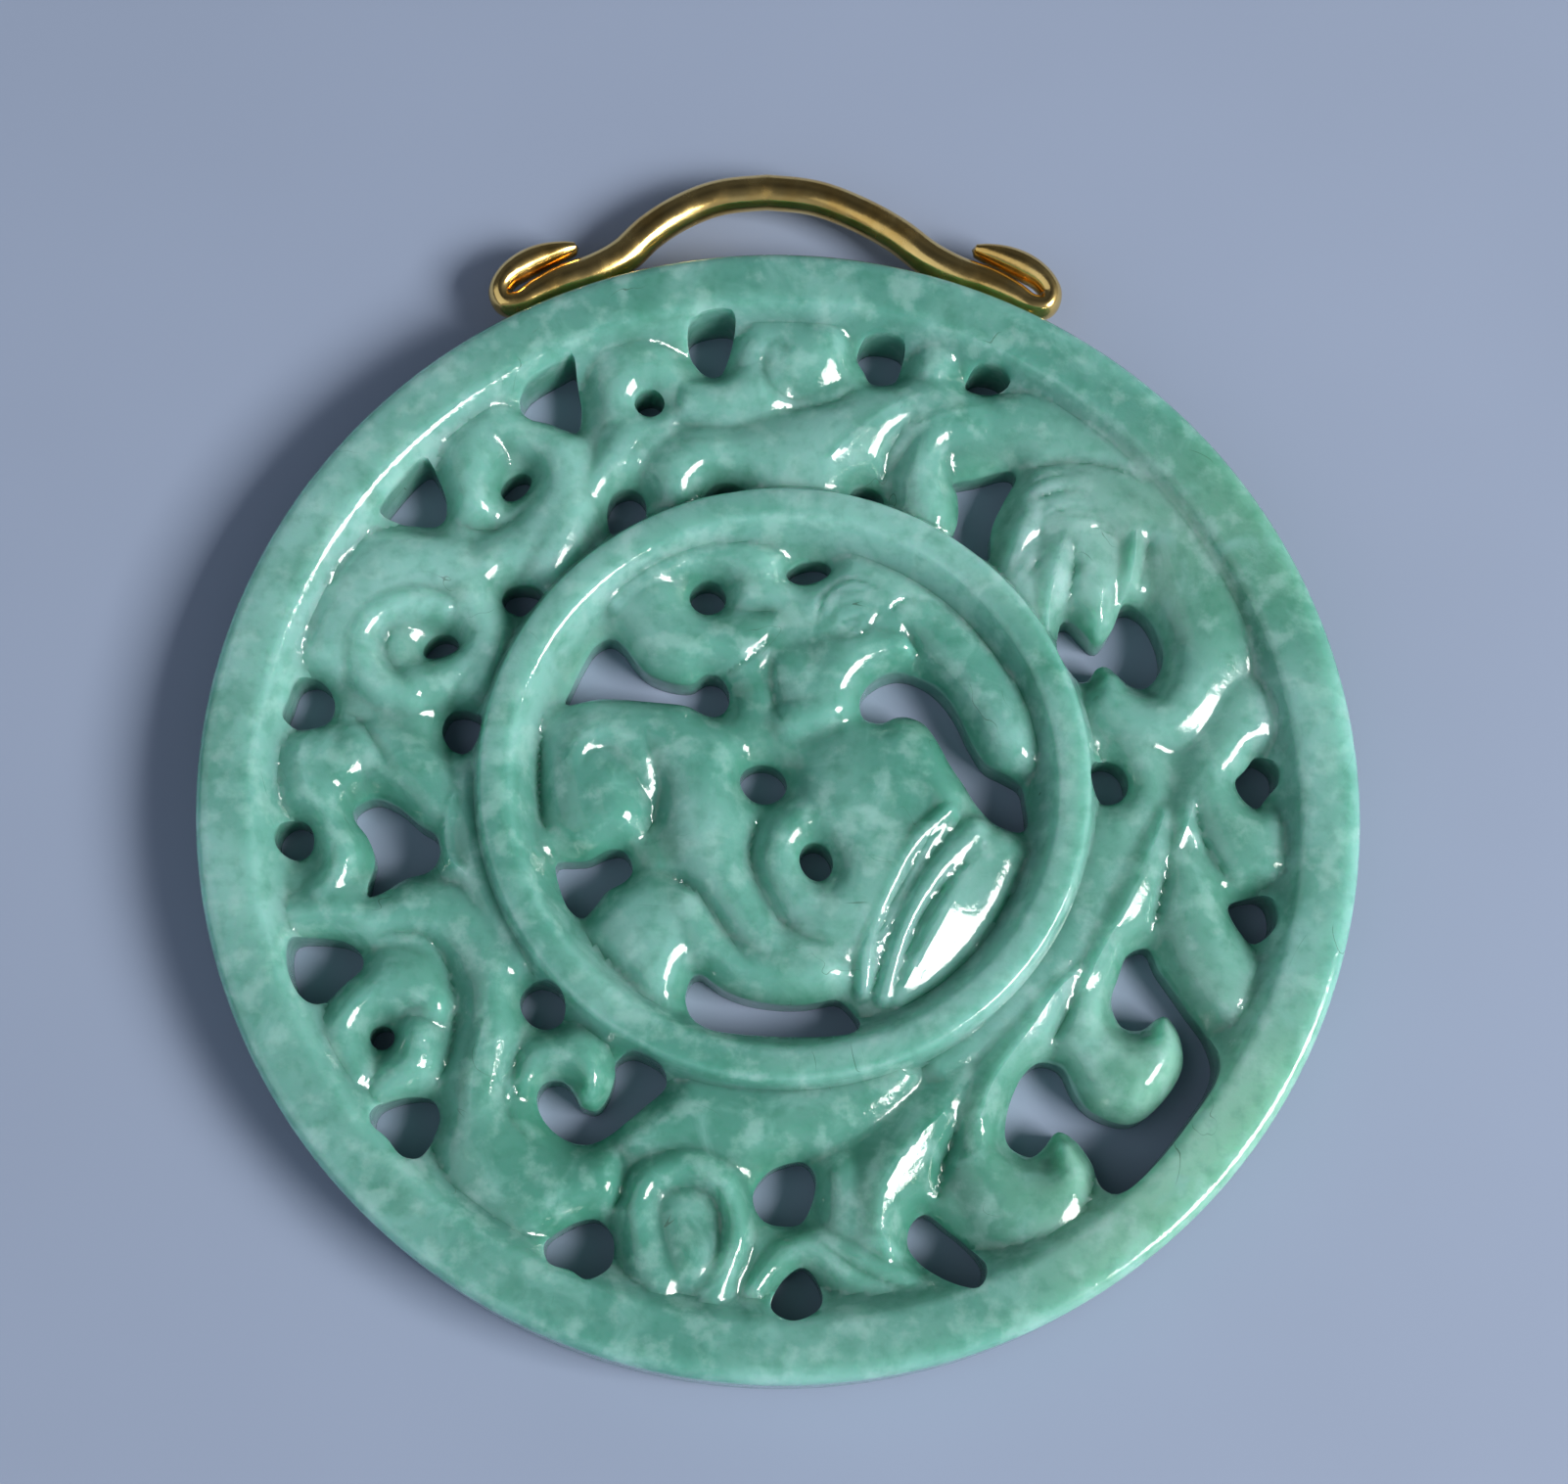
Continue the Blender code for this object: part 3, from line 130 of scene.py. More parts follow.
# Rounded limbs of the outer field: clock, share, half width, crown level
FIELD_LIMBS = (
    ((341.5, 94, 22, 82), (342, 74, 22, 85), (340, 55, 17, 82), (335, 42, 13, 80),
     (330.5, 34, 11, 76)),
    ((348, 62, 12, 80), (353, 60, 16, 79), (358, 66, 18, 80)),
    ((357, 92, 20, 83), (363, 86, 22, 85), (366, 94, 16, 83)),
    ((343.5, 26, 18, 84), (348, 30, 15, 83), (354, 27, 15, 82), (362, 28, 22, 82), (369, 38, 24, 86),
     (375, 54, 22, 87), (381, 68, 20, 86), (390, 82, 20, 84), (400, 93, 20, 84), (410, 97, 18, 84)),
    ((19.6, 98, 17, 84), (19.6, 88, 13, 84)),
    ((27, 72, 15, 86), (23, 56, 12, 87), (23, 38, 12, 84), (25.5, 22, 16, 82), (29, 12, 12, 82)),
    ((42, 62, 17, 80), (46, 76, 20, 82), (52, 84, 18, 82)),
    ((40.5, 50, 10, 82), (43, 30, 11, 82), (47, 14, 12, 81), (54, 3, 10, 80)),
    ((42, 58, 20, 83), (48, 52, 21, 87), (54, 44, 19, 87), (60, 34, 13, 83)),
    ((52, 97, 20, 84), (60, 94, 26, 84), (68, 83, 27, 86), (74, 68, 20, 87), (78, 52, 16, 86),
     (78, 34, 15, 84), (74, 22, 13, 82), (70.5, 26, 7, 80)),
    ((80, 86, 22, 82), (88, 68, 20, 80), (95, 55, 16, 79)),
    ((90.5, 68, 16, 83), (95, 80, 24, 86), (98, 92, 14, 83)),
    ((82, 30, 16, 76), (93, 19, 20, 79), (104, 13, 20, 80), (116, 11, 18, 80), (128, 9, 14, 80),
     (140, 9, 12, 79), (150, 10, 10, 78)),
    ((236, 9, 12, 79), (252, 8, 12, 80), (268, 8, 12, 80), (282, 7, 10, 78)),
    ((100, 52, 14, 78), (106, 62, 18, 81), (111, 80, 22, 84), (115, 92, 14, 83)),
    ((104, 36, 7, 78), (114, 32, 9, 81), (124, 33, 12, 82), (130, 42, 14, 82), (131, 58, 18, 85),
     (129, 73, 19, 88), (124, 75, 10, 84), (121.5, 69, 5, 78)),
    ((124, 17, 8, 78), (133, 22, 11, 79), (141, 26, 13, 80), (147, 34, 13, 80), (151, 46, 11, 80),
     (152.5, 56, 8, 79)),
    ((153, 58, 14, 82), (152, 76, 18, 85), (148.2, 90, 18, 87), (143.8, 86, 10, 84),
     (142.4, 74, 6, 80)),
    ((148, 20, 9, 76), (154, 26, 12, 78), (161, 34, 13, 78), (165.8, 48, 12, 79), (168.4, 63, 10, 79),
     (168, 82, 7, 78)),
    ((158, 6, 10, 80), (168, 10, 18, 82), (178, 14, 21, 83), (189, 17, 21, 83), (197, 21, 19, 82),
     (203, 34, 12, 79)),
    ((164, 102, 8, 77), (168, 92, 11, 80), (172.5, 82, 13, 81), (177.5, 76, 13, 80), (181, 83, 9, 78),
     (183, 92, 7, 76)),
    ((171, 62, 16, 80), (172, 46, 14, 79)),
    ((188, 96, 11, 82), (186.2, 78, 8, 83), (186.2, 60, 8, 84), (188.6, 47, 8, 84), (193.4, 42, 9, 83),
     (198, 50, 9, 83), (199.4, 62, 10, 83), (197.5, 80, 12, 83), (194, 94, 13, 82)),
    ((191, 86, 15, 82), (192.5, 66, 14, 81)),
    ((205, 62, 16, 81), (210, 78, 24, 84), (217, 80, 26, 85), (222, 72, 20, 84), (227, 50, 14, 86),
     (232, 32, 14, 86), (239, 20, 15, 83), (247, 22, 17, 82), (252.5, 42, 17, 83), (254.5, 70, 18, 83),
     (255, 92, 14, 82)),
    ((220.8, 41, 8, 80), (221.5, 28, 13, 81), (217, 20, 14, 83), (213.2, 22, 11, 83), (212, 31, 7, 80)),
    ((236, 98, 10, 80), (241.5, 91, 14, 84), (244.6, 75, 16, 85), (243.2, 59, 15, 84),
     (238.5, 51, 11, 82)),
    ((232.3, 92, 10, 82), (233.3, 76, 13, 86), (235.7, 66, 11, 86)),
    ((276, 82, 17, 85), (269, 78, 15, 83), (264, 69, 13, 84), (260.3, 70, 11, 83), (257.6, 80, 10, 82)),
    ((266, 18, 16, 80), (273, 32, 18, 82), (277, 58, 14, 80), (274, 70, 14, 82)),
    ((288, 88, 16, 84), (294, 88, 22, 86), (300, 82, 22, 86), (304, 66, 17, 86), (305.5, 46, 16, 84),
     (302, 28, 16, 82), (296, 14, 12, 80), (290, 14, 12, 79)),
    ((300, 44, 9, 83), (298.5, 60, 10, 86), (295.5, 72, 10, 88), (291.5, 76, 10, 87),
     (287.8, 69, 10, 86), (285.8, 56, 10, 85), (286, 42, 10, 83)),
    ((287.5, 40, 12, 83), (290, 30, 12, 84), (294, 23, 10, 84), (298, 21, 8, 82)),
    ((315.6, 70, 15, 84), (318, 86, 18, 87), (323, 94, 14, 84), (327.3, 78, 14, 84),
     (328.3, 58, 15, 84), (325, 41, 16, 82), (317, 33, 17, 79), (309, 38, 15, 80)),
    ((312.5, 14, 11, 79), (319, 21, 13, 83), (326, 31, 11, 82)),
)
# Limbs there that come to a crest
FIELD_BLADES = (
    ((47.2, 47, 12, 86), (48.6, 38, 18, 92), (51, 26, 18, 92), (54, 15, 12, 89), (58.5, 4, 6, 84)),
    ((52.5, 78, 8, 82), (55.6, 67, 13, 87), (58.4, 56, 13, 87), (60.2, 46, 8, 83)),
    ((93, 40, 8, 77), (98, 36, 14, 84), (104, 32, 17, 87), (111, 28.5, 17, 88), (118, 27, 14, 87),
     (124, 29, 9, 83)),
    ((86.5, 61, 7, 78), (90, 56.5, 10, 83), (94, 52, 10, 83), (98, 48, 7, 78)),
    ((8.5, 23, 10, 86), (12, 40, 17, 90), (16, 58, 17, 90), (19, 70, 9, 86)),
    ((154, 30, 9, 82), (159, 35.5, 16, 88), (163.5, 43, 20, 91), (166.8, 55, 21, 92), (168, 68, 19, 91),
     (167.4, 80, 12, 86)),
    ((121, 22, 8, 80), (127.2, 19, 13, 87), (134.5, 21.5, 16, 90), (141, 25.2, 17, 91),
     (146, 31.3, 16, 90), (150, 41, 12, 86)),
    ((278, 84, 10, 83), (275.5, 87, 16, 88), (271, 83, 16, 88), (267.5, 75, 10, 83)),
    ((20.5, 53, 9, 84), (22.6, 62, 15, 89), (25.4, 71, 15, 89), (28, 79, 9, 84)),
    ((231.8, 36, 8, 86), (229.2, 46, 14, 89), (226.6, 58, 14, 88), (224, 68, 8, 84)),
    ((270, 14, 6, 80), (263.6, 19, 12, 84), (258.6, 19, 10, 83), (254.5, 12, 6, 78)),
)
# Rounded limbs inside the ring: right, up, half width, crown level
RING_LIMBS = (
    ((-44, 61, 15, 80), (-38, 53, 19, 83), (-28, 50, 17, 84), (-16, 50, 15, 80), (-4, 54, 12, 78)),
    ((-56, 63, 5, 78), (-47, 72, 7, 82), (-35, 78, 8, 82), (-18, 78, 9, 82), (-5, 74, 8, 82)),
    ((-12, 67, 9, 80), (0, 66, 11, 80)),
    ((8, 60, 14, 80), (20, 62, 17, 83), (33, 62, 14, 83), (46, 58, 10, 81)),
    ((3, 40, 10, 81), (14, 36, 16, 84), (24, 44, 14, 86), (34, 46, 9, 84), (40, 47, 6, 82)),
    ((3, 22, 8, 80), (12, 25, 9, 83), (21, 29, 7, 82)),
    ((48, 56, 9, 80), (57, 46, 11, 84), (66, 33, 12, 86), (73, 20, 12, 87), (76, 10, 9, 84)),
    ((34, 4, 24, 82), (22, -8, 22, 84), (26, -28, 20, 84), (14, -48, 17, 82), (2, -60, 12, 82)),
    ((48, 8, 12, 80), (54, -4, 8, 80)),
    ((5, -15, 13, 84), (2, -26, 13, 85), (6, -38, 12, 84)),
    ((16, -14, 11, 83), (20, -25, 9, 82)),
    ((-60, 20, 16, 82), (-44, 16, 18, 83), (-30, 6, 17, 85), (-27, -10, 15, 85), (-24, -26, 12, 84),
     (-14, -42, 10, 83), (-4, -56, 9, 81)),
    ((-64, 23, 11, 81), (-67, 9, 13, 84), (-66, -6, 12, 84), (-61, -17, 9, 81)),
    ((-71, 7, 5, 84), (-66, 15, 6, 87), (-58, 17.5, 6, 86), (-50, 14, 5, 80)),
    ((-60, -1, 12, 87), (-58, -9, 12, 87)),
    ((-50, -44, 15, 83), (-44, -51, 17, 87), (-42, -62, 12, 85)),
    ((-33, -42, 9, 82), (-26, -54, 9, 84), (-16, -62, 10, 84), (0, -66, 9, 83), (12, -64, 10, 84)),
    ((-36, -76, 7, 74), (-42, -68, 7, 74)),
    ((54, -10, 5, 83), (42, -24, 6, 84), (33, -42, 5.5, 84), (27, -58, 5, 83), (25, -70, 3, 78)),
    ((64, -16, 6, 82), (52, -28, 6, 84), (42, -44, 6, 85), (36, -60, 5, 83), (32, -72, 4, 78)),
    ((70, -22, 10, 76), (63, -34, 12, 77), (54, -50, 12, 77), (44, -64, 9, 76), (37, -72, 5, 75)),
)
# Limbs there that come to a crest
RING_BLADES = (
    ((66, -21, 8, 80), (59, -31, 13, 84), (52, -44, 15, 91), (45, -57, 12, 87), (38, -70, 6, 78)),
)
# Valleys of the outer field: path, half width, depth
FIELD_VALLEYS = (
    (((334, 33), (337.5, 42), (341.5, 48.5), (345.5, 50.5), (349.5, 48)), 7, 6),
    (((0, 52), (4, 54.5), (8, 59.5), (10.5, 68), (12.5, 76)), 5, 12),
    (((1.5, 93), (-0.7, 88), (-1.7, 77), (-1, 66), (2, 59), (6, 60)), 5, 8),
    (((20, 63), (18.4, 51), (17.4, 38), (17.8, 24), (17, 14)), 6, 12),
    (((36.3, 58), (38, 71), (41, 82), (45, 92), (49, 99)), 4, 12),
    (((39.3, 46), (41, 56), (43.4, 66)), 3.4, 8),
    (((43.6, 43), (45.4, 54), (48, 63), (51, 70)), 3, 4),
    (((44.2, 35), (45, 22), (46.2, 10)), 4, 8),
    (((48.8, 47), (51.6, 38), (54.6, 27), (57.6, 15)), 4, 10),
    (((54, 85), (56, 74), (58.5, 64), (61, 56)), 6, 12),
    (((87.3, 59), (91, 56), (95, 58.5), (98.6, 66), (101, 77), (101.8, 88)), 4, 12),
    (((99, 45), (105, 44.5), (112, 46)), 4, 10),
    (((124, 26), (131, 31), (138, 33)), 4, 9),
    (((153, 38), (156.5, 48), (159, 60), (160.3, 70)), 5, 12),
    (((163, 103), (167, 97), (171, 87), (174.5, 76), (177, 68)), 4, 9),
    (((177, 36), (171.5, 30), (167, 27)), 5, 4),
    (((183.5, 66), (184.6, 80), (185.5, 92), (184.5, 100)), 4, 8),
    (((203, 78), (201.8, 66), (202.6, 54), (204.5, 44)), 6, 12),
    (((217.5, 105), (221, 98), (224, 90)), 4, 8),
    (((208, 57), (213, 61), (218.5, 60), (222.6, 52), (224.6, 38), (226, 24)), 5, 8),
    (((229.3, 76), (231, 61), (234.5, 49), (239, 41), (244, 37), (248, 41), (250, 53),
     (250.2, 68)), 5, 13),
    (((238.9, 72), (239.6, 62), (237.8, 54)), 4, 9),
    (((254, 18), (256.5, 30), (258, 38)), 5, 8),
    (((282.7, 78), (280.6, 64), (277.6, 53), (274, 44)), 5, 12),
    (((299, 54), (295, 63), (291.8, 62.5), (289.3, 54), (289.2, 45)), 3.5, 7),
    (((304, 101), (297, 102.5), (290, 102.5), (285.5, 100)), 6, 8),
    (((311.3, 74), (312, 62), (313.8, 52), (317, 47), (321, 48), (324, 54)), 6, 13),
)
# Valleys inside the ring: path, half width, depth
RING_VALLEYS = (
    (((-20, 62), (-10, 60), (-2, 60)), 4, 8),
    (((-17, 42), (-9, 46), (-2, 51), (2, 56)), 3, 4),
    (((-4, 46), (-4.5, 36), (-3, 27), (0, 19)), 3, 9),
    (((2, 14), (12, 18), (24, 23)), 4, 9),
    (((25, 79), (40, 75), (54, 66), (64, 55), (74, 42), (80, 30)), 3, 9),
    (((41, 56), (44, 49), (47, 41)), 3.5, 9),
    (((12, 58), (14, 66), (20, 71), (27, 70)), 1.8, 5),
    (((16, 56), (18, 62), (24, 66)), 1.8, 5),
    (((14, 52), (22, 52), (27, 58)), 1.8, 5),
    (((34, 57), (39, 62), (46, 63), (55, 57)), 1.8, 4),
    (((-3, -4), (-9, -12), (-11.5, -24), (-9, -36), (-3, -45), (6, -52), (14, -55)), 5, 13),
    (((-44, -29), (-35, -32.5), (-27.5, -39), (-20.5, -50), (-12, -61)), 3.6, 13),
    (((-47, 17), (-43, 6), (-42, -5), (-45, -15), (-50, -24)), 5.5, 13),
    (((-68, 3), (-64.5, 9.5), (-58, 11.5), (-52.5, 9)), 2.4, 6),
    (((-82, 24), (-83, 8), (-82, -6), (-79, -16)), 4, 22),
    (((-70, -46), (-62, -56), (-52, -65), (-45, -70)), 4.5, 10),
    (((57, -11), (46, -21), (37.5, -36), (31, -50), (28, -64)), 2.6, 12),
    (((70, -19), (56, -31), (46, -44), (39, -58), (35, -70)), 2.4, 10),
    (((59, -14), (50, -24), (41, -38), (36, -52)), 1.2, 5),
    (((25, -76), (40, -74), (56, -63), (68, -49), (76, -34), (79, -22)), 3, 8),
)
# Hollows of the outer field: clock, share, radius, depth
FIELD_DISHES = (
    (342.5, 69, 13, 10), (351, 10, 16, 14), (16.5, 14, 15, 10), (191.5, 66, 18, 9),
    (1, 86, 6, 6), (282.5, 14, 16, 14), (308.5, 18, 13, 8), (294.8, 40, 19, 11), (321, 62, 15, 12),
    (145.5, 73, 8, 8), (238.5, 79, 9, 6),
)
# Hollows inside the ring: right, up, radius, depth
RING_DISHES = (
    (10, -26, 9, 8), (-7, 2, 12, 8), (-25, 67, 9, 8), (9, 76, 11, 8), (30, 36, 10, 5),
)

# Fine cuts of the outer field: path, half width, depth
FIELD_CUTS = (
    (((37.4, 46), (39.5, 64), (42, 76)), 2.4, 5),
    (((40.3, 46), (41.7, 61), (44.6, 72)), 2.4, 5),
    (((43, 44), (44.6, 57), (47.4, 67)), 2.4, 5),
    (((41.2, 20), (40.1, 35), (40.3, 46)), 2.2, 4),
    (((45, 12), (43.8, 26), (44.3, 39)), 2.2, 4),
    (((48.5, 8), (47.3, 20), (47.1, 33)), 2.2, 4),
    (((47.6, 55), (49.6, 62), (52, 67)), 2.4, 5),
    (((221.5, 42), (221, 50), (220, 58)), 2.2, 4),
    (((186, 92), (185.2, 84), (186, 75)), 2.2, 4),
    (((246, 62), (246, 59), (245, 56)), 2.0, 4),
)
# Fine cuts inside the ring: path, half width, depth
RING_CUTS = (
    (((11, 55), (13.5, 64), (21.5, 70.5), (32, 68)), 2.0, 6),
    (((13, 52), (20, 49.5), (27, 52), (33, 60)), 2.0, 6),
    (((16.4, 64), (21.7, 66.5), (27, 66)), 1.5, 5),
    (((16.9, 59.5), (22.7, 62), (28.5, 61.5)), 1.5, 5),
    (((19, 54.6), (23.7, 56.6), (28, 57)), 1.5, 5),
    (((34, 57), (39, 62), (44, 65)), 1.6, 4),
    (((46, 64), (51, 62.5), (55, 58)), 1.6, 4),
    (((40, 56), (43.5, 49), (45, 40)), 1.6, 4),
    (((-33, 33), (-20.8, 38), (-8.1, 46), (-1, 56)), 1.9, 5),
)
# The bail's right half from the top of its arch to the tip of its curl: hundredths of its
# reach, height (hundredths of the clear rise), half thickness and half depth (of the wire's)
BAIL_MARKS = (
    (0, 100, 100, 100), (15.7, 93, 100, 100), (29.3, 73, 100, 100), (42.5, 45, 100, 100),
    (54, 14, 100, 100), (65.4, 0, 100, 100), (77.5, -1, 96, 100), (87, -4.3, 86, 98),
    (94.5, -8.5, 72, 95), (99.8, 3, 64, 92), (99.4, 28, 64, 92), (94.5, 46, 70, 94),
    (87.5, 54, 80, 94), (80.4, 55.5, 74, 88), (73.6, 53, 54, 76), (69.5, 51, 34, 56))



class Chart(Enum):
    """How the numbers of a mark are measured."""

    FIELD = "clock degrees, hundredths of the outer field's breadth"
    RING = "hundredths of the ring's radius, right and up"


class Crest(Enum):
    """How a limb swells from its sides to its middle, as a power."""

    ROUND = 2.0
    KEEN = 1.15


@dataclass(frozen=True)
class DiscPlan:
    """Plan sizes of the disc, and the two charts that its carving is drawn on."""

    diameter: float = 0.055
    thickness: float = 0.004
    rim_breadth: float = 0.0025
    rim_slope: float = 0.0014
    field_margin: float = 0.0035
    edge_rounding: float = 0.0006
    back_rounding: float = 0.0005
    ring_radius: float = 0.0143
    ring_right: float = 0.0002
    ring_up: float = 0.0006
    ring_breadth: float = 0.00115
    ring_inner_slope: float = 0.0011
    ring_outer_slope: float = 0.0007
    opening_rounding: float = 0.0016
    bail_rise: float = 0.0050

    @property
    def radius(self) -> float:
        """Radius of the disc."""
        return self.diameter / 2

    @property
    def ring_centre(self) -> np.ndarray:
        """Centre of the raised ring."""
        return np.array([self.ring_right, self.ring_up])

    @property
    def origin(self) -> np.ndarray:
        """The disc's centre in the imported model's frame."""
        return np.array([0, -self.bail_rise / 2, 0])

    def unit(self, chart: Chart) -> float:
        """Length of one hundredth on a chart."""
        if chart is Chart.FIELD:
            return (self.radius - self.field_margin - self.ring_radius) / 100
        return self.ring_radius / 100

    def place(self, marks: np.ndarray, chart: Chart) -> np.ndarray:
        """Turn marks on a chart into places on the disc.

        Args:
            marks: rows that start with the chart's two numbers.
            chart: the chart that they are drawn on.

        Returns:
            X and Y from the disc's centre.
        """
        if chart is Chart.RING:
            return self.ring_centre + marks[..., :2] * self.unit(chart)
        angle = np.radians(marks[..., 0])
        outward = np.stack([np.sin(angle), np.cos(angle)], -1)
        across = self.ring_right * outward[..., 1] - self.ring_up * outward[..., 0]
        start = outward @ self.ring_centre + np.sqrt(self.ring_radius ** 2 - across ** 2)
        reach = start + (self.radius - self.field_margin - start) * marks[..., 1] / 100
        return outward * reach[..., None]


def flow(marks: Marks, closed: bool, steps: int) -> np.ndarray:
    """Run a smooth curve through marks, column by column.

    Args:
        marks: the rows to pass through.
        closed: whether the curve comes back to its start.
        steps: points from each mark to the next.

    Returns:
        The points of the curve.
    """
    rows = np.array(marks, float)
    if closed:
        span = np.vstack([rows[-1], rows, rows[:2]])
    else:
        span = np.vstack([2 * rows[0] - rows[1], rows, 2 * rows[-1] - rows[-2]])
    t = (np.arange(steps) / steps)[:, None]
    pieces = [
        b + 0.5 * t * (c - a + t * (2 * a - 5 * b + 4 * c - d + t * (3 * b - a - 3 * c + d)))
        for a, b, c, d in zip(span, span[1:], span[2:], span[3:])
    ]
    if not closed:
        pieces.append(rows[-1:])
    return np.vstack(pieces)


def ease(t: np.ndarray) -> np.ndarray:
    """A smooth rise from 0 to 1."""
    t = np.clip(t, 0, 1)
    return t * t * (3 - 2 * t)


def higher(a: np.ndarray, b: np.ndarray, soft: float) -> np.ndarray:
    """The larger of two levels, with the join rounded over a soft width."""
    meet = np.clip(soft - abs(a - b), 0, None) / soft
    return np.maximum(a, b) + meet * meet * soft / 4


def near(xy: np.ndarray, low: np.ndarray, high: np.ndarray, margin: float) -> np.ndarray:
    """Indices of the points within a box grown by a margin."""
    return np.nonzero((xy > low - margin).all(1) & (xy < high + margin).all(1))[0]


def to_segment(xy: np.ndarray, start: np.ndarray, end: np.ndarray) -> tuple[np.ndarray, np.ndarray]:
    """Measure points against a straight segment.

    Args:
        xy: the points.
        start: where the segment starts.
        end: where it ends.

    Returns:
        The distance of each point, and how far along the segment its nearest place is.
    """
    run = end - start
    t = np.clip((xy - start) @ run / max(run @ run, 1e-16), 0, 1)
    gap = xy - start - t[:, None] * run
    return np.hypot(gap[:, 0], gap[:, 1]), t


def beside(
    xy: np.ndarray, path: np.ndarray, width: np.ndarray, level: np.ndarray
) -> tuple[np.ndarray, np.ndarray]:
    """Measure points against a path of changing width.

    Args:
        xy: the points.
        path: places along the path.
        width: the path's half width at each place.
        level: its level at each place.

    Returns:
        The share of the half width that each point lies from the path, and the level there.
    """
    share = np.full(len(xy), OUT_OF_REACH)
    crown = np.zeros(len(xy))
    around = near(xy, path.min(0), path.max(0), width.max())
    for i in range(len(path) - 1):
        ends = path[i:i + 2]
        close = around[near(xy[around], ends.min(0), ends.max(0), width[i:i + 2].max())]
        if not len(close):
            continue
        gap, t = to_segment(xy[close], *ends)
        here = gap / (width[i] + (width[i + 1] - width[i]) * t)
        nearer = here < share[close]
        share[close[nearer]] = here[nearer]
        crown[close[nearer]] = (level[i] + (level[i + 1] - level[i]) * t)[nearer]
    return share, crown


def within(xy: np.ndarray, outline: np.ndarray) -> np.ndarray:
    """Tell which points lie inside a closed outline.

    Args:
        xy: the points.
        outline: the places around the outline.

    Returns:
        True for each point that lies inside.
    """
    odd = np.zeros(len(xy), bool)
    for (x0, y0), (x1, y1) in zip(outline, np.roll(outline, -1, 0)):
        crossed = (y0 > xy[:, 1]) != (y1 > xy[:, 1])
        odd ^= crossed & (xy[:, 0] < (x1 - x0) * (xy[:, 1] - y0) / ((y1 - y0) or 1) + x0)
    return odd


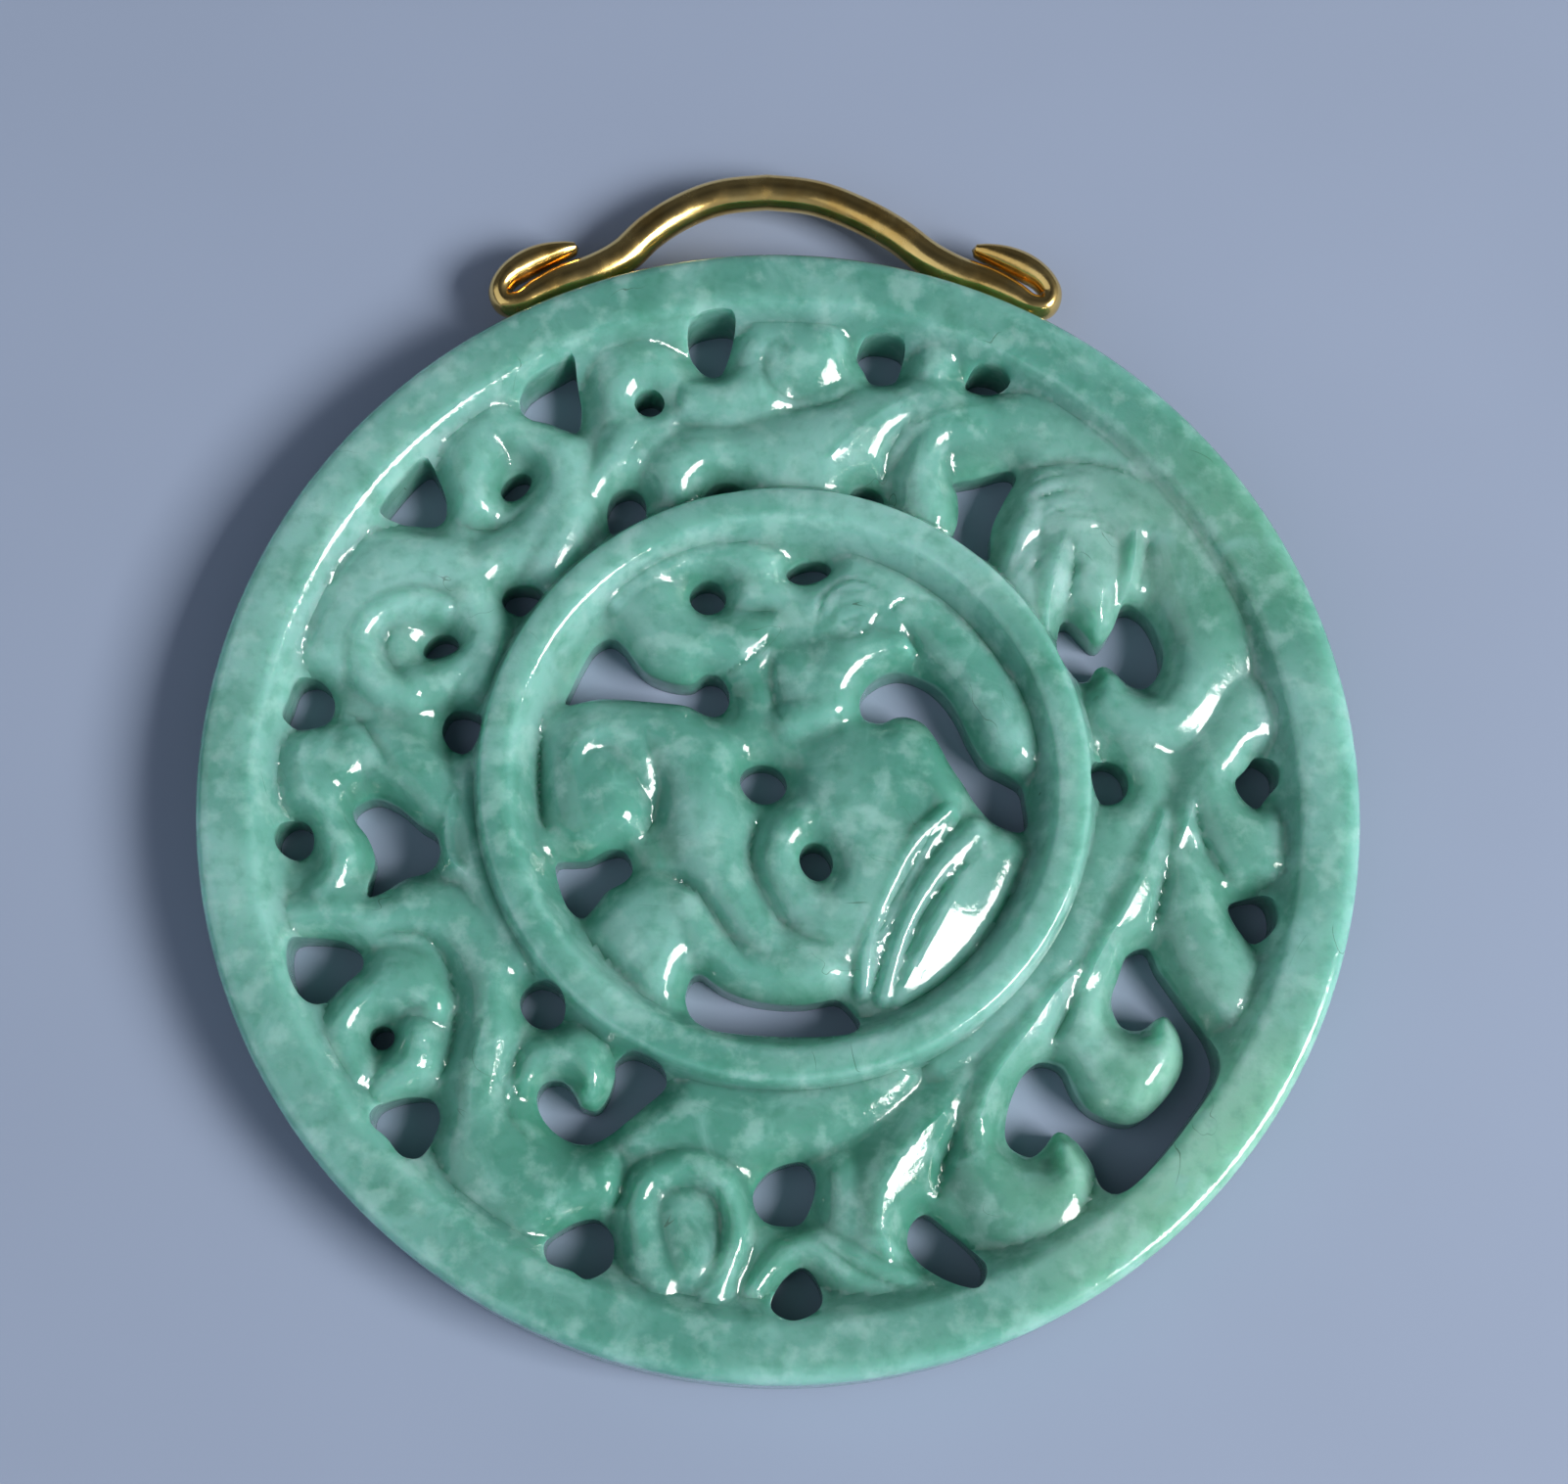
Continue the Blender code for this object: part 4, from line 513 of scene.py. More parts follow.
@dataclass(frozen=True)
class Relief:
    """The carving: its openings, and the height of the carved face."""

    plan: DiscPlan = field(default_factory=DiscPlan)
    web_level: float = 0.64
    foot_level: float = 0.62
    arris: float = 0.35
    limb_root: float = 0.54
    opening_drop: float = 0.20
    blend: float = 0.05
    slope_blend: float = 0.03
    limb_fullness: float = 1.3
    valley_fullness: float = 1.7
    crease: float = 2.0
    taper_haste: float = 3
    taper_least: float = 0.05
    tip_width: float = 0.4
    steps: int = 24
    outline_steps: int = 8
    oval_points: int = 48

    def oval(self, mark: Sequence[float], chart: Chart) -> np.ndarray:
        """Outline of a drilled opening.

        Args:
            mark: its two numbers on the chart, half width, half height and tilt.
            chart: the chart that it is drawn on.

        Returns:
            X and Y around it.
        """
        first, second, wide, high, tilt = mark
        k = np.arange(self.oval_points) / self.oval_points * 2 * pi
        x, y = wide * np.cos(k) * self.plan.unit(chart), high * np.sin(k) * self.plan.unit(chart)
        a = radians(tilt) - (radians(first) if chart is Chart.FIELD else 0)
        centre = self.plan.place(np.array([first, second], float), chart)
        return centre + np.stack([x * np.cos(a) - y * np.sin(a), x * np.sin(a) + y * np.cos(a)], -1)

    def openings(self) -> Loops:
        """Draw every opening cut through the disc.

        Returns:
            Their closed outlines, X and Y from the disc's centre.
        """
        found = []
        for chart, sawn, drilled in (
            (Chart.FIELD, FIELD_OPENINGS, FIELD_DRILLINGS),
            (Chart.RING, RING_OPENINGS, RING_DRILLINGS),
        ):
            found += [self.plan.place(flow(marks, True, self.outline_steps), chart) for marks in sawn]
            found += [self.oval(mark, chart) for mark in drilled]
        return found

    def raise_limbs(
        self, level: np.ndarray, xy: np.ndarray, table: Sequence[Marks], chart: Chart, crest: Crest
    ) -> None:
        """Raise the limbs of a table out of the web.

        Args:
            level: levels of the points, changed in place.
            xy: the points.
            table: limbs, each with marks of place, half width and crown level.
            chart: the chart that they are drawn on.
            crest: how they swell.
        """
        for marks in table:
            path = flow(marks, False, self.steps)
            width = path[:, 2] * self.plan.unit(chart) * self.limb_fullness
            share, crown = beside(xy, self.plan.place(path, chart), width, path[:, 3] / 100)
            on = np.nonzero(share < 1)[0]
            raised = self.limb_root + (crown[on] - self.limb_root) * (1 - share[on] ** crest.value)
            level[on] = higher(level[on], raised, self.blend)

    def cut_valleys(
        self, depth: np.ndarray, xy: np.ndarray, table: Sequence, chart: Chart, fullness: float
    ) -> None:
        """Cut the tapering valleys of a table.

        Args:
            depth: depths cut at the points, changed in place.
            xy: the points.
            table: valleys, each a path of marks, a half width and a depth.
            chart: the chart that they are drawn on.
            fullness: the width of every valley, as a share of its half width.
        """
        for marks, width, deep in table:
            path = flow(marks, False, self.steps)
            run = np.arange(len(path)) / (len(path) - 1)
            to_tip = np.minimum(run, 1 - run)
            taper = np.sqrt(np.clip(self.taper_haste * to_tip, self.taper_least, 1))
            breadth = self.tip_width + (1 - self.tip_width) * taper
            half = width * self.plan.unit(chart) * fullness * breadth
            share, floor = beside(xy, self.plan.place(path, chart), half, deep / 100 * taper)
            on = share < 1
            depth[on] = np.maximum(depth[on], floor[on] * (1 - share[on]) ** self.crease)

    def sink_dishes(self, depth: np.ndarray, xy: np.ndarray, table: Marks, chart: Chart) -> None:
        """Sink the round hollows of a table.

        Args:
            depth: depths cut at the points, changed in place.
            xy: the points.
            table: hollows, each with its place, half width and depth.
            chart: the chart that they are drawn on.
        """
        for first, second, width, deep in table:
            gap = xy - self.plan.place(np.array([first, second], float), chart)
            share = np.hypot(gap[:, 0], gap[:, 1]) / (width * self.plan.unit(chart))
            on = share < 1
            depth[on] += deep / 100 * (1 - share[on] ** 2) ** 2

    def slope(self, run: np.ndarray, breadth: float) -> np.ndarray:
        """Fall down a slope whose upper edge is rounded.

        Args:
            run: how far each point lies past the slope's upper edge.
            breadth: the slope's breadth.

        Returns:
            The share of the fall at each point, past 1 beyond the slope's foot.
        """
        t = np.maximum(run / breadth, 0)
        fall = np.where(t < self.arris, t * t / (2 * self.arris), t - self.arris / 2)
        return fall / (1 - self.arris / 2)

    def from_openings(self, xy: np.ndarray, outlines: Loops) -> np.ndarray:
        """Measure how far points lie from the openings.

        Args:
            xy: the points.
            outlines: the outlines of the openings.

        Returns:
            The distance to the nearest one, no more than the rounding's reach.
        """
        reach = self.plan.opening_rounding
        best = np.full(len(xy), reach)
        for outline in outlines:
            close = near(xy, outline.min(0), outline.max(0), reach)
            for start, end in zip(outline, np.roll(outline, -1, 0)):
                some = close[near(xy[close], np.minimum(start, end), np.maximum(start, end), reach)]
                best[some] = np.minimum(best[some], to_segment(xy[some], start, end)[0])
        return best

    def surface(self, xy: np.ndarray, outlines: Loops) -> np.ndarray:
        """Height of the carved face above the back.

        Args:
            xy: points from the disc's centre.
            outlines: the outlines of the openings.

        Returns:
            The height at each point, in metres.
        """
        plan = self.plan
        level = np.full(len(xy), self.web_level)
        self.raise_limbs(level, xy, FIELD_LIMBS, Chart.FIELD, Crest.ROUND)
        self.raise_limbs(level, xy, FIELD_BLADES, Chart.FIELD, Crest.KEEN)
        self.raise_limbs(level, xy, RING_LIMBS, Chart.RING, Crest.ROUND)
        self.raise_limbs(level, xy, RING_BLADES, Chart.RING, Crest.KEEN)
        depth = np.zeros(len(xy))
        self.cut_valleys(depth, xy, FIELD_VALLEYS, Chart.FIELD, self.valley_fullness)
        self.cut_valleys(depth, xy, RING_VALLEYS, Chart.RING, self.valley_fullness)
        self.sink_dishes(depth, xy, FIELD_DISHES, Chart.FIELD)
        self.sink_dishes(depth, xy, RING_DISHES, Chart.RING)
        near_opening = 1 - self.from_openings(xy, outlines) / plan.opening_rounding
        level -= higher(depth, self.opening_drop * near_opening ** self.crease, self.blend)
        fine = np.zeros(len(xy))
        self.cut_valleys(fine, xy, FIELD_CUTS, Chart.FIELD, 1)
        self.cut_valleys(fine, xy, RING_CUTS, Chart.RING, 1)
        level -= fine
        radius = np.hypot(xy[:, 0], xy[:, 1])
        ring_radius = np.hypot(*(xy - plan.ring_centre).T)
        rim = self.slope(plan.radius - plan.rim_breadth - radius, plan.rim_slope)
        outside = self.slope(ring_radius - plan.ring_radius, plan.ring_outer_slope)
        to_inside = plan.ring_radius - plan.ring_breadth - ring_radius
        inside = self.slope(to_inside, plan.ring_inner_slope)
        fall = 1 - self.foot_level
        level = higher(level, 1 - fall * rim, self.slope_blend)
        level = higher(level, 1 - fall * np.maximum(outside, inside), self.slope_blend)
        height = np.minimum(level, 1) * plan.thickness
        turned = np.clip(radius - (plan.radius - plan.edge_rounding), 0, plan.edge_rounding)
        return height - plan.edge_rounding + np.sqrt(plan.edge_rounding ** 2 - turned ** 2)


def circle(centre: np.ndarray, radius: float, sides: int) -> np.ndarray:
    """Points around a circle, clockwise from its top."""
    turn = np.arange(sides) / sides * 2 * pi
    return centre + radius * np.stack([np.sin(turn), np.cos(turn)], -1)


def spaced(outline: np.ndarray, pitch: float) -> np.ndarray:
    """Space points evenly around a closed outline, against the clock.

    Args:
        outline: the places around the outline.
        pitch: about how far apart the points are.

    Returns:
        The evenly spaced points.
    """
    x, y = outline.T
    if x @ np.roll(y, -1) < y @ np.roll(x, -1):
        outline = outline[::-1]
    ring = np.vstack([outline, outline[:1]])
    run = np.append(0, np.cumsum(np.hypot(*np.diff(ring, axis=0).T)))
    count = max(8, round(run[-1] / pitch))
    at = np.arange(count) / count * run[-1]
    return np.stack([np.interp(at, run, ring[:, 0]), np.interp(at, run, ring[:, 1])], -1)


@dataclass
class JadeDisc:
    """The carved disc, as one fine mesh."""

    relief: Relief = field(default_factory=Relief)
    rim_sides: int = 720
    ring_sides: int = 440
    outline_pitch: float = 0.00022
    surface_pitch: float = 0.00020
    wall_rows: int = 5
    slope_rows: int = 7
    edge_rows: tuple[float, ...] = (0.06, 0.3, 0.6, 1.0)
    crease_apart: float = 0.4
    face_apart: float = 0.62

    def on_jade(self, xy: np.ndarray, outlines: Loops) -> np.ndarray:
        """Tell which points lie on the jade.

        Args:
            xy: the points.
            outlines: the outlines of the openings.

        Returns:
            True for each point inside the disc's edge and outside every opening.
        """
        keep = np.hypot(xy[:, 0], xy[:, 1]) < self.relief.plan.radius
        for outline in outlines:
            some = near(xy, outline.min(0), outline.max(0), 0)
            keep[some[within(xy[some], outline)]] = False
        return keep

    def even_grid(self) -> np.ndarray:
        """Lay an even triangular grid over the whole disc.

        Returns:
            The grid's points.
        """
        pitch = self.surface_pitch
        rise = pitch * np.sqrt(3) / 2
        count = int(self.relief.plan.radius / rise) + 1
        i, j = np.meshgrid(np.arange(-count, count + 1), np.arange(-count, count + 1))
        return np.stack([(i + 0.5 * (j % 2)) * pitch, j * rise], -1).reshape(-1, 2)

    def add_apart(self, points: np.ndarray, offered: np.ndarray, apart: float) -> np.ndarray:
        """Add each offered point that keeps its distance from the points so far.

        Args:
            points: the points so far.
            offered: the points to add, in order.
            apart: the least distance.

        Returns:
            All the points, those so far first.
        """
        cells: dict[tuple[int, int], list[tuple[float, float]]] = {}
        for x, y in points.tolist():
            cells.setdefault((int(x // apart), int(y // apart)), []).append((x, y))
        added = []
        for x, y in offered.tolist():
            i, j = int(x // apart), int(y // apart)
            around = [(a, b) for a in (i - 1, i, i + 1) for b in (j - 1, j, j + 1)]
            crowd = [q for cell in around for q in cells.get(cell, ())]
            if all((x - u) ** 2 + (y - v) ** 2 >= apart ** 2 for u, v in crowd):
                cells.setdefault((i, j), []).append((x, y))
                added.append((x, y))
        return np.vstack([points, added]) if added else points

    def triangles(self, points: np.ndarray, loops: Loops, outlines: Loops) -> np.ndarray:
        """Triangulate the jade between loops.

        Args:
            points: X and Y, those of the loops first.
            loops: the disc's edge and the openings' outlines.
            outlines: the openings' outlines.

        Returns:
            Three indices of points for each triangle.
        """
        edges = []
        start = 0
        for loop in loops:
            edges += [(start + k, start + (k + 1) % len(loop)) for k in range(len(loop))]
            start += len(loop)
        flat = [Vector(p) for p in (points * 1000).tolist()]
        _, _, faces, origins, _, _ = delaunay_2d_cdt(flat, edges, [], 0, 1e-5)
        own = np.array([sources[0] for sources in origins])
        corners = own[np.array(faces)]
        return corners[self.on_jade(points[corners].mean(1), outlines)]

    def front(self, rim: np.ndarray, outlines: Loops) -> np.ndarray:
        """Lay the points of the carved face.

        Args:
            rim: the points of the disc's edge.
            outlines: the outlines of the openings.

        Returns:
            X and Y of every point, those of the edge and the openings first.
        """
        plan = self.relief.plan
        middle = np.zeros(2)
        rims = [
            circle(middle, plan.radius - share * plan.edge_rounding, self.rim_sides)
            for share in self.edge_rows
        ]
        arrises = []
        for share in np.linspace(0, 1, self.slope_rows):
            rim_foot = plan.radius - plan.rim_breadth - share * plan.rim_slope
            arrises.append(circle(middle, rim_foot, self.rim_sides))
            inner = plan.ring_radius - plan.ring_breadth - share * plan.ring_inner_slope
            outer = plan.ring_radius + share * plan.ring_outer_slope
            arrises += [circle(plan.ring_centre, radius, self.ring_sides) for radius in (inner, outer)]
        for table, chart in ((FIELD_BLADES, Chart.FIELD), (RING_BLADES, Chart.RING)):
            arrises += [plan.place(flow(marks, False, self.relief.steps), chart) for marks in table]
        points = np.vstack([rim] + outlines + rims)
        for offered, apart in ((np.vstack(arrises), self.crease_apart), (self.even_grid(), self.face_apart)):
            on_jade = offered[self.on_jade(offered, outlines)]
            points = self.add_apart(points, on_jade, apart * self.surface_pitch)
        return points

    def build(self) -> bpy.types.Object:
        """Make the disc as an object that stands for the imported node.

        Returns:
            The new object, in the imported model's frame.
        """
        plan = self.relief.plan
        outlines = [spaced(outline, self.outline_pitch) for outline in self.relief.openings()]
        rim = circle(np.zeros(2), plan.radius, self.rim_sides)
        loops = [rim] + outlines
        front = self.front(rim, outlines)
        top = np.column_stack([front, self.relief.surface(front, outlines)])
        faces = self.triangles(front, loops, outlines).tolist()
        low = np.vstack([circle(np.zeros(2), plan.radius - plan.back_rounding, self.rim_sides)] + outlines)
        faces += (self.triangles(low, loops, outlines)[:, ::-1] + len(top)).tolist()
        rows = [top, np.column_stack([low, np.zeros(len(low))])]
        count = len(top) + len(low)
        start = 0
        for number, loop in enumerate(loops):
            here = start + np.arange(len(loop))
            foot = here + len(top)
            high = here
            base = plan.back_rounding if number == 0 else 0
            for row in range(1, self.wall_rows + 1):
                if row == self.wall_rows and number:
                    deep = foot
                else:
                    height = top[here, 2] + (base - top[here, 2]) * row / self.wall_rows
                    rows.append(np.column_stack([loop, height]))
                    deep = count + np.arange(len(loop))
                    count += len(loop)
                faces += np.column_stack([high, np.roll(high, -1), np.roll(deep, -1), deep]).tolist()
                high = deep
            if number == 0:
                faces += np.column_stack([high, np.roll(high, -1), np.roll(foot, -1), foot]).tolist()
            start += len(loop)
        return add_mesh("jade_disc", np.vstack(rows) + plan.origin, faces)


def add_mesh(name: str, points: np.ndarray, faces: list) -> bpy.types.Object:
    """Add a smooth mesh object to the scene.

    Args:
        name: the object's name.
        points: its vertices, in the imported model's frame.
        faces: the indices of each face's vertices.

    Returns:
        The new object.
    """
    mesh = bpy.data.meshes.new(name)
    mesh.from_pydata(points.tolist(), [], faces)
    mesh.shade_smooth()
    mesh.set_sharp_from_angle(angle=SHARP_ANGLE)
    piece = bpy.data.objects.new(name, mesh)
    bpy.context.scene.collection.objects.link(piece)
    return piece


@dataclass
class GoldBail:
    """The bail: a gold wire with a low arch and a curl at each end."""

    plan: DiscPlan = field(default_factory=DiscPlan)
    wire: float = 0.0018
    lean: float = 0.0004
    gap: float = 0.0003
    reach: float = 28
    arch_end: float = 60
    tip_length: float = 0.6
    sides: int = 40
    steps: int = 16

    def line(self) -> np.ndarray:
        """Draw the wire's middle line from one curl's tip to the other.

        Returns:
            Its stations: X, Y, half thickness and half depth.
        """
        half = flow(BAIL_MARKS, False, self.steps)
        clock = half[:, 0] / 100 * radians(self.reach)
        rise = self.plan.bail_rise - self.gap - self.wire
        radius = self.plan.radius + self.gap + self.wire / 2 + half[:, 1] / 100 * rise
        lean = self.lean * ease(half[:, 1] / 100) * (half[:, 0] < self.arch_end)
        x, y = radius * np.sin(clock), radius * np.cos(clock)
        thick = half[:, 2:] / 100 * self.wire / 2
        right = np.column_stack([x - lean, y, thick])
        left = np.column_stack([-x - lean, y, thick])
        return np.vstack([left[:0:-1], right])

    def build(self) -> bpy.types.Object:
        """Sweep the wire along its line.

        Returns:
            The new object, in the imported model's frame.
        """
        line = self.line()
        ends = np.vstack([2 * line[0] - line[1], line, 2 * line[-1] - line[-2]])
        run = ends[2:, :2] - ends[:-2, :2]
        run /= np.hypot(run[:, 0], run[:, 1])[:, None]
        turn = np.arange(self.sides) / self.sides * 2 * pi
        out = np.cos(turn)[None, :, None] * line[:, 2, None, None]
        up = np.sin(turn)[None, :] * line[:, 3, None]
        across = np.stack([run[:, 1], -run[:, 0]], -1)[:, None]
        flat = line[:, None, :2] + across * out
        middle = self.plan.thickness / 2
        tube = np.concatenate([flat, up[..., None] + middle], -1).reshape(-1, 3)
        tips = [
            np.append(line[k, :2] + side * run[k] * line[k, 2] * self.tip_length, middle)
            for k, side in ((0, -1), (-1, 1))
        ]
        last = (len(line) - 1) * self.sides
        faces = []
        for k in range(self.sides):
            beyond = (k + 1) % self.sides
            start = np.arange(0, last, self.sides)
            after = start + self.sides
            faces += np.column_stack([start + k, after + k, after + beyond, start + beyond]).tolist()
            faces += [[k, beyond, len(tube)], [last + beyond, last + k, len(tube) + 1]]
        return add_mesh("bail_wire", np.vstack([tube, tips]) + self.plan.origin, faces)


class Tree:
    """A material's or a world's nodes, with short ways to add them."""

    def __init__(self, name: str, world: bpy.types.World | None = None) -> None:
        """Start a material, or a world where one is given, with its shader."""
        self.material = world or bpy.data.materials.new(name)
        self.material.use_nodes = True
        self.nodes = self.material.node_tree.nodes
        self.shader = self.nodes["Background" if world else "Principled BSDF"]
        self.place = self.add("ShaderNodeTexCoord").outputs["Generated" if world else "Object"]

    def add(self, kind: str, **values: object) -> bpy.types.Node:
        """Add a node.

        Args:
            kind: Blender's name for its type.
            values: its properties.

        Returns:
            The new node.
        """
        node = self.nodes.new(kind)
        for name, value in values.items():
            setattr(node, name, value)
        return node

    def link(self, start: bpy.types.NodeSocket, end: bpy.types.NodeSocket) -> None:
        """Join two sockets."""
        self.material.node_tree.links.new(start, end)

    def set(self, **values: float | Sequence[float]) -> None:
        """Set sockets of the surface shader by their names, with _ for spaces."""
        for name, value in values.items():
            self.shader.inputs[name.replace("_", " ")].default_value = value

    def noise(self, size: float, detail: float = 3, warp: float = 0) -> Socket:
        """Add a noise pattern.

        Args:
            size: length of its patches, in metres.
            detail: how many finer layers it has.
            warp: how far it is bent by itself.

        Returns:
            The socket with its value.
        """
        node = self.add("ShaderNodeTexNoise")
        node.inputs["Scale"].default_value = 1 / size
        node.inputs["Detail"].default_value = detail
        node.inputs["Distortion"].default_value = warp
        self.link(self.place, node.inputs["Vector"])
        return node.outputs["Fac"]

    def ramp(self, value: Socket, low: float, high: float, start: float = 0, end: float = 1) -> Socket:
        """Stretch a range of values onto another, smoothly and within its ends.

        Args:
            value: the socket with the value.
            low: the value that becomes start.
            high: the value that becomes end.
            start: the new range's one end.
            end: its other end.

        Returns:
            The socket with the stretched value.
        """
        node = self.add("ShaderNodeMapRange", interpolation_type="SMOOTHSTEP")
        for name, number in (("From Min", low), ("From Max", high), ("To Min", start), ("To Max", end)):
            node.inputs[name].default_value = number
        self.link(value, node.inputs["Value"])
        return node.outputs["Result"]

    def mix(self, share: Socket, under: Socket | Colour, over: Socket | Colour) -> Socket:
        """Mix two colours, each given as a socket or as three numbers.

        Args:
            share: the socket with the share of the upper colour.
            under: the lower colour.
            over: the upper colour.

        Returns:
            The socket with the mixed colour.
        """
        node = self.add("ShaderNodeMix", data_type="RGBA")
        self.link(share, node.inputs["Factor"])
        for name, colour in (("A", under), ("B", over)):
            socket = next(s for s in node.inputs if s.name == name and s.type == "RGBA")
            if isinstance(colour, Socket):
                self.link(colour, socket)
            else:
                socket.default_value = (*colour, 1)
        return next(s for s in node.outputs if s.type == "RGBA")

    def patch(self, centre: Sequence[float], radius: float, share: float) -> Socket:
        """Shade a soft round patch, full within a third of its radius.

        Args:
            centre: its middle.
            radius: how far it reaches.
            share: its share at the middle.

        Returns:
            The socket with its share.
        """
        node = self.add("ShaderNodeVectorMath", operation="DISTANCE")
        self.link(self.place, node.inputs[0])
        node.inputs[1].default_value = centre
        return self.ramp(node.outputs["Value"], radius, radius / 3, 0, share)

    def height(self) -> Socket:
        """Read the height above the back, or of a direction in a world.

        Returns:
            The socket with its value.
        """
        node = self.add("ShaderNodeSeparateXYZ")
        self.link(self.place, node.inputs["Vector"])
        return node.outputs["Z"]

    def threads(self, size: float, breadth: float, gap: float, share: float) -> Socket:
        """Draw a few hair-fine threads where a noise passes its middle value.

        Args:
            size: length of the noise's patches.
            breadth: how near to its middle value the noise is on a thread.
            gap: length of the patches between the threads.
            share: the share of their colour on the threads.

        Returns:
            The socket with the share.
        """
        middle = self.add("ShaderNodeMath", operation="COMPARE")
        self.link(self.noise(size, 2, 2.5), middle.inputs[0])
        middle.inputs[1].default_value = 0.5
        middle.inputs[2].default_value = breadth
        few = self.add("ShaderNodeMath", operation="MULTIPLY")
        self.link(middle.outputs["Value"], few.inputs[0])
        self.link(self.ramp(self.noise(gap, 2), 0.60, 0.68, 0, share), few.inputs[1])
        return few.outputs["Value"]

    def bump(self, *layers: tuple[float, float, float]) -> None:
        """Roughen the surface finely.

        Args:
            layers: the size, height and strength of each layer of roughness.
        """
        under = None
        for size, height, strength in layers:
            node = self.add("ShaderNodeBump")
            node.inputs["Strength"].default_value = strength
            node.inputs["Distance"].default_value = height
            self.link(self.noise(size, 4), node.inputs["Height"])
            if under:
                self.link(under.outputs["Normal"], node.inputs["Normal"])
            under = node
        self.link(under.outputs["Normal"], self.shader.inputs["Normal"])


@dataclass(frozen=True)
class Tone:
    """A soft patch of the jade with a tone of its own."""

    right: float
    up: float
    radius: float
    colour: Colour
    share: float


@dataclass(frozen=True)
class Mottle:
    """A layer of mottling: one colour, laid on where a noise is high."""

    colour: Colour
    size: float
    detail: float
    warp: float
    low: float
    high: float
    share: float


@dataclass(frozen=True)
class JadeFinish:
    """Mottled, milky green jade with a hand polish."""

    plan: DiscPlan = field(default_factory=DiscPlan)
    milk: Colour = (0.42, 0.66, 0.62)
    pale: Colour = (0.27, 0.54, 0.49)
    body: Colour = (0.12, 0.35, 0.29)
    deep: Colour = (0.05, 0.24, 0.16)
    yellow: Colour = (0.30, 0.56, 0.42)
    fleck: Colour = (0.05, 0.10, 0.06)
    # Painted shade: below these heights above the back, the colour is darkened towards the deep green, up to
    # the given share, in place of the shade in low carved hollows and down the openings' walls
    recess_shade_top: float = 0.0034
    recess_shade_foot: float = 0.0018
    recess_shade_share: float = 0.55
    glow_depth: float = 0.0030
    glow_reach: Colour = (0.55, 1.0, 0.75)
    gloss: float = 0.07
    gloss_spread: float = 0.10

    def tones(self) -> tuple[Tone, ...]:
        """List the broad tones of this stone.

        Returns:
            The tones, placed from the disc's centre.
        """
        return (
            Tone(-0.015, 0.014, 0.015, self.pale, 0.45), Tone(-0.020, -0.010, 0.012, self.pale, 0.20),
            Tone(0.022, 0.012, 0.012, self.deep, 0.55), Tone(0.007, -0.003, 0.009, self.deep, 0.25),
            Tone(0.004, -0.019, 0.013, self.deep, 0.40), Tone(-0.010, -0.016, 0.009, self.deep, 0.30),
            Tone(0.019, -0.003, 0.010, self.deep, 0.50), Tone(0.0145, 0.013, 0.009, self.milk, 0.45),
            Tone(0.020, -0.019, 0.014, self.yellow, 0.60), Tone(0.023, 0.014, 0.009, self.yellow, 0.30),
        )

    def mottling(self) -> tuple[Mottle, ...]:
        """List the finer mottling, from the clouds to the grain.

        Returns:
            The layers, in the order in which they are laid on.
        """
        return (
            Mottle(self.pale, 0.0026, 5, 0.8, 0.50, 0.72, 0.60),
            Mottle(self.deep, 0.0036, 4, 0.5, 0.54, 0.74, 0.50),
            Mottle(self.milk, 0.0014, 5, 0, 0.48, 0.68, 0.42),
            Mottle(self.deep, 0.0008, 4, 0, 0.45, 0.75, 0.30),
        )

    def colour(self, tree: Tree) -> Socket:
        """Mix the stone's colour: broad tones, mottling, painted shade that darkens the low carved hollows
        and the openings' walls, and dark threads.

        Args:
            tree: the material's nodes.

        Returns:
            The socket with the colour.
        """
        colour = tree.mix(tree.ramp(tree.noise(0.012, 5, 0.4), 0.40, 0.66), self.body, self.pale)
        origin = self.plan.origin
        for tone in self.tones():
            centre = (tone.right + origin[0], tone.up + origin[1], 0)
            colour = tree.mix(tree.patch(centre, tone.radius, tone.share), colour, tone.colour)
        for layer in self.mottling():
            noise = tree.noise(layer.size, layer.detail, layer.warp)
            colour = tree.mix(tree.ramp(noise, layer.low, layer.high, 0, layer.share), colour, layer.colour)
        # Painted shade: darken the lower, deeper carved parts and the openings' walls towards the deep green
        recess_shade = tree.ramp(tree.height(), self.recess_shade_top, self.recess_shade_foot, 0, self.recess_shade_share)
        colour = tree.mix(recess_shade, colour, self.deep)
        return tree.mix(tree.threads(0.010, 0.0022, 0.0042, 0.55), colour, self.fleck)

    def material(self) -> bpy.types.Material:
        """Make the jade material.

        Returns:
            The new material.
        """
        tree = Tree("jade")
        tree.link(self.colour(tree), tree.shader.inputs["Base Color"])
        duller = self.gloss + self.gloss_spread
        polish = tree.ramp(tree.noise(0.0030, 4), 0.35, 0.75, self.gloss, duller)
        tree.link(polish, tree.shader.inputs["Roughness"])
        tree.set(IOR=1.60, Subsurface_Weight=1.0, Subsurface_Scale=self.glow_depth)
        tree.set(Subsurface_Radius=self.glow_reach, Coat_Weight=0.15, Coat_Roughness=0.05)
        tree.bump((0.0016, 0.0002, 0.30), (0.00045, 0.00006, 0.35), (0.00016, 0.00002, 0.30))
        return tree.material


@dataclass(frozen=True)
class GoldFinish:
    """Polished yellow gold with the faint marks of handling."""

    colour: Colour = (0.94, 0.66, 0.24)
    warm: Colour = (0.80, 0.50, 0.14)
    gloss: float = 0.15
    gloss_spread: float = 0.16

    def material(self) -> bpy.types.Material:
        """Make the gold material.

        Returns:
            The new material.
        """
        tree = Tree("gold")
        wear = tree.ramp(tree.noise(0.0022, 4), 0.4, 0.7)
        tree.link(tree.mix(wear, self.colour, self.warm), tree.shader.inputs["Base Color"])
        duller = self.gloss + self.gloss_spread
        polish = tree.ramp(tree.noise(0.0012, 5), 0.3, 0.8, self.gloss, duller)
        tree.link(polish, tree.shader.inputs["Roughness"])
        tree.set(Metallic=1.0)
        tree.bump((0.0006, 0.00005, 0.2))
        return tree.material


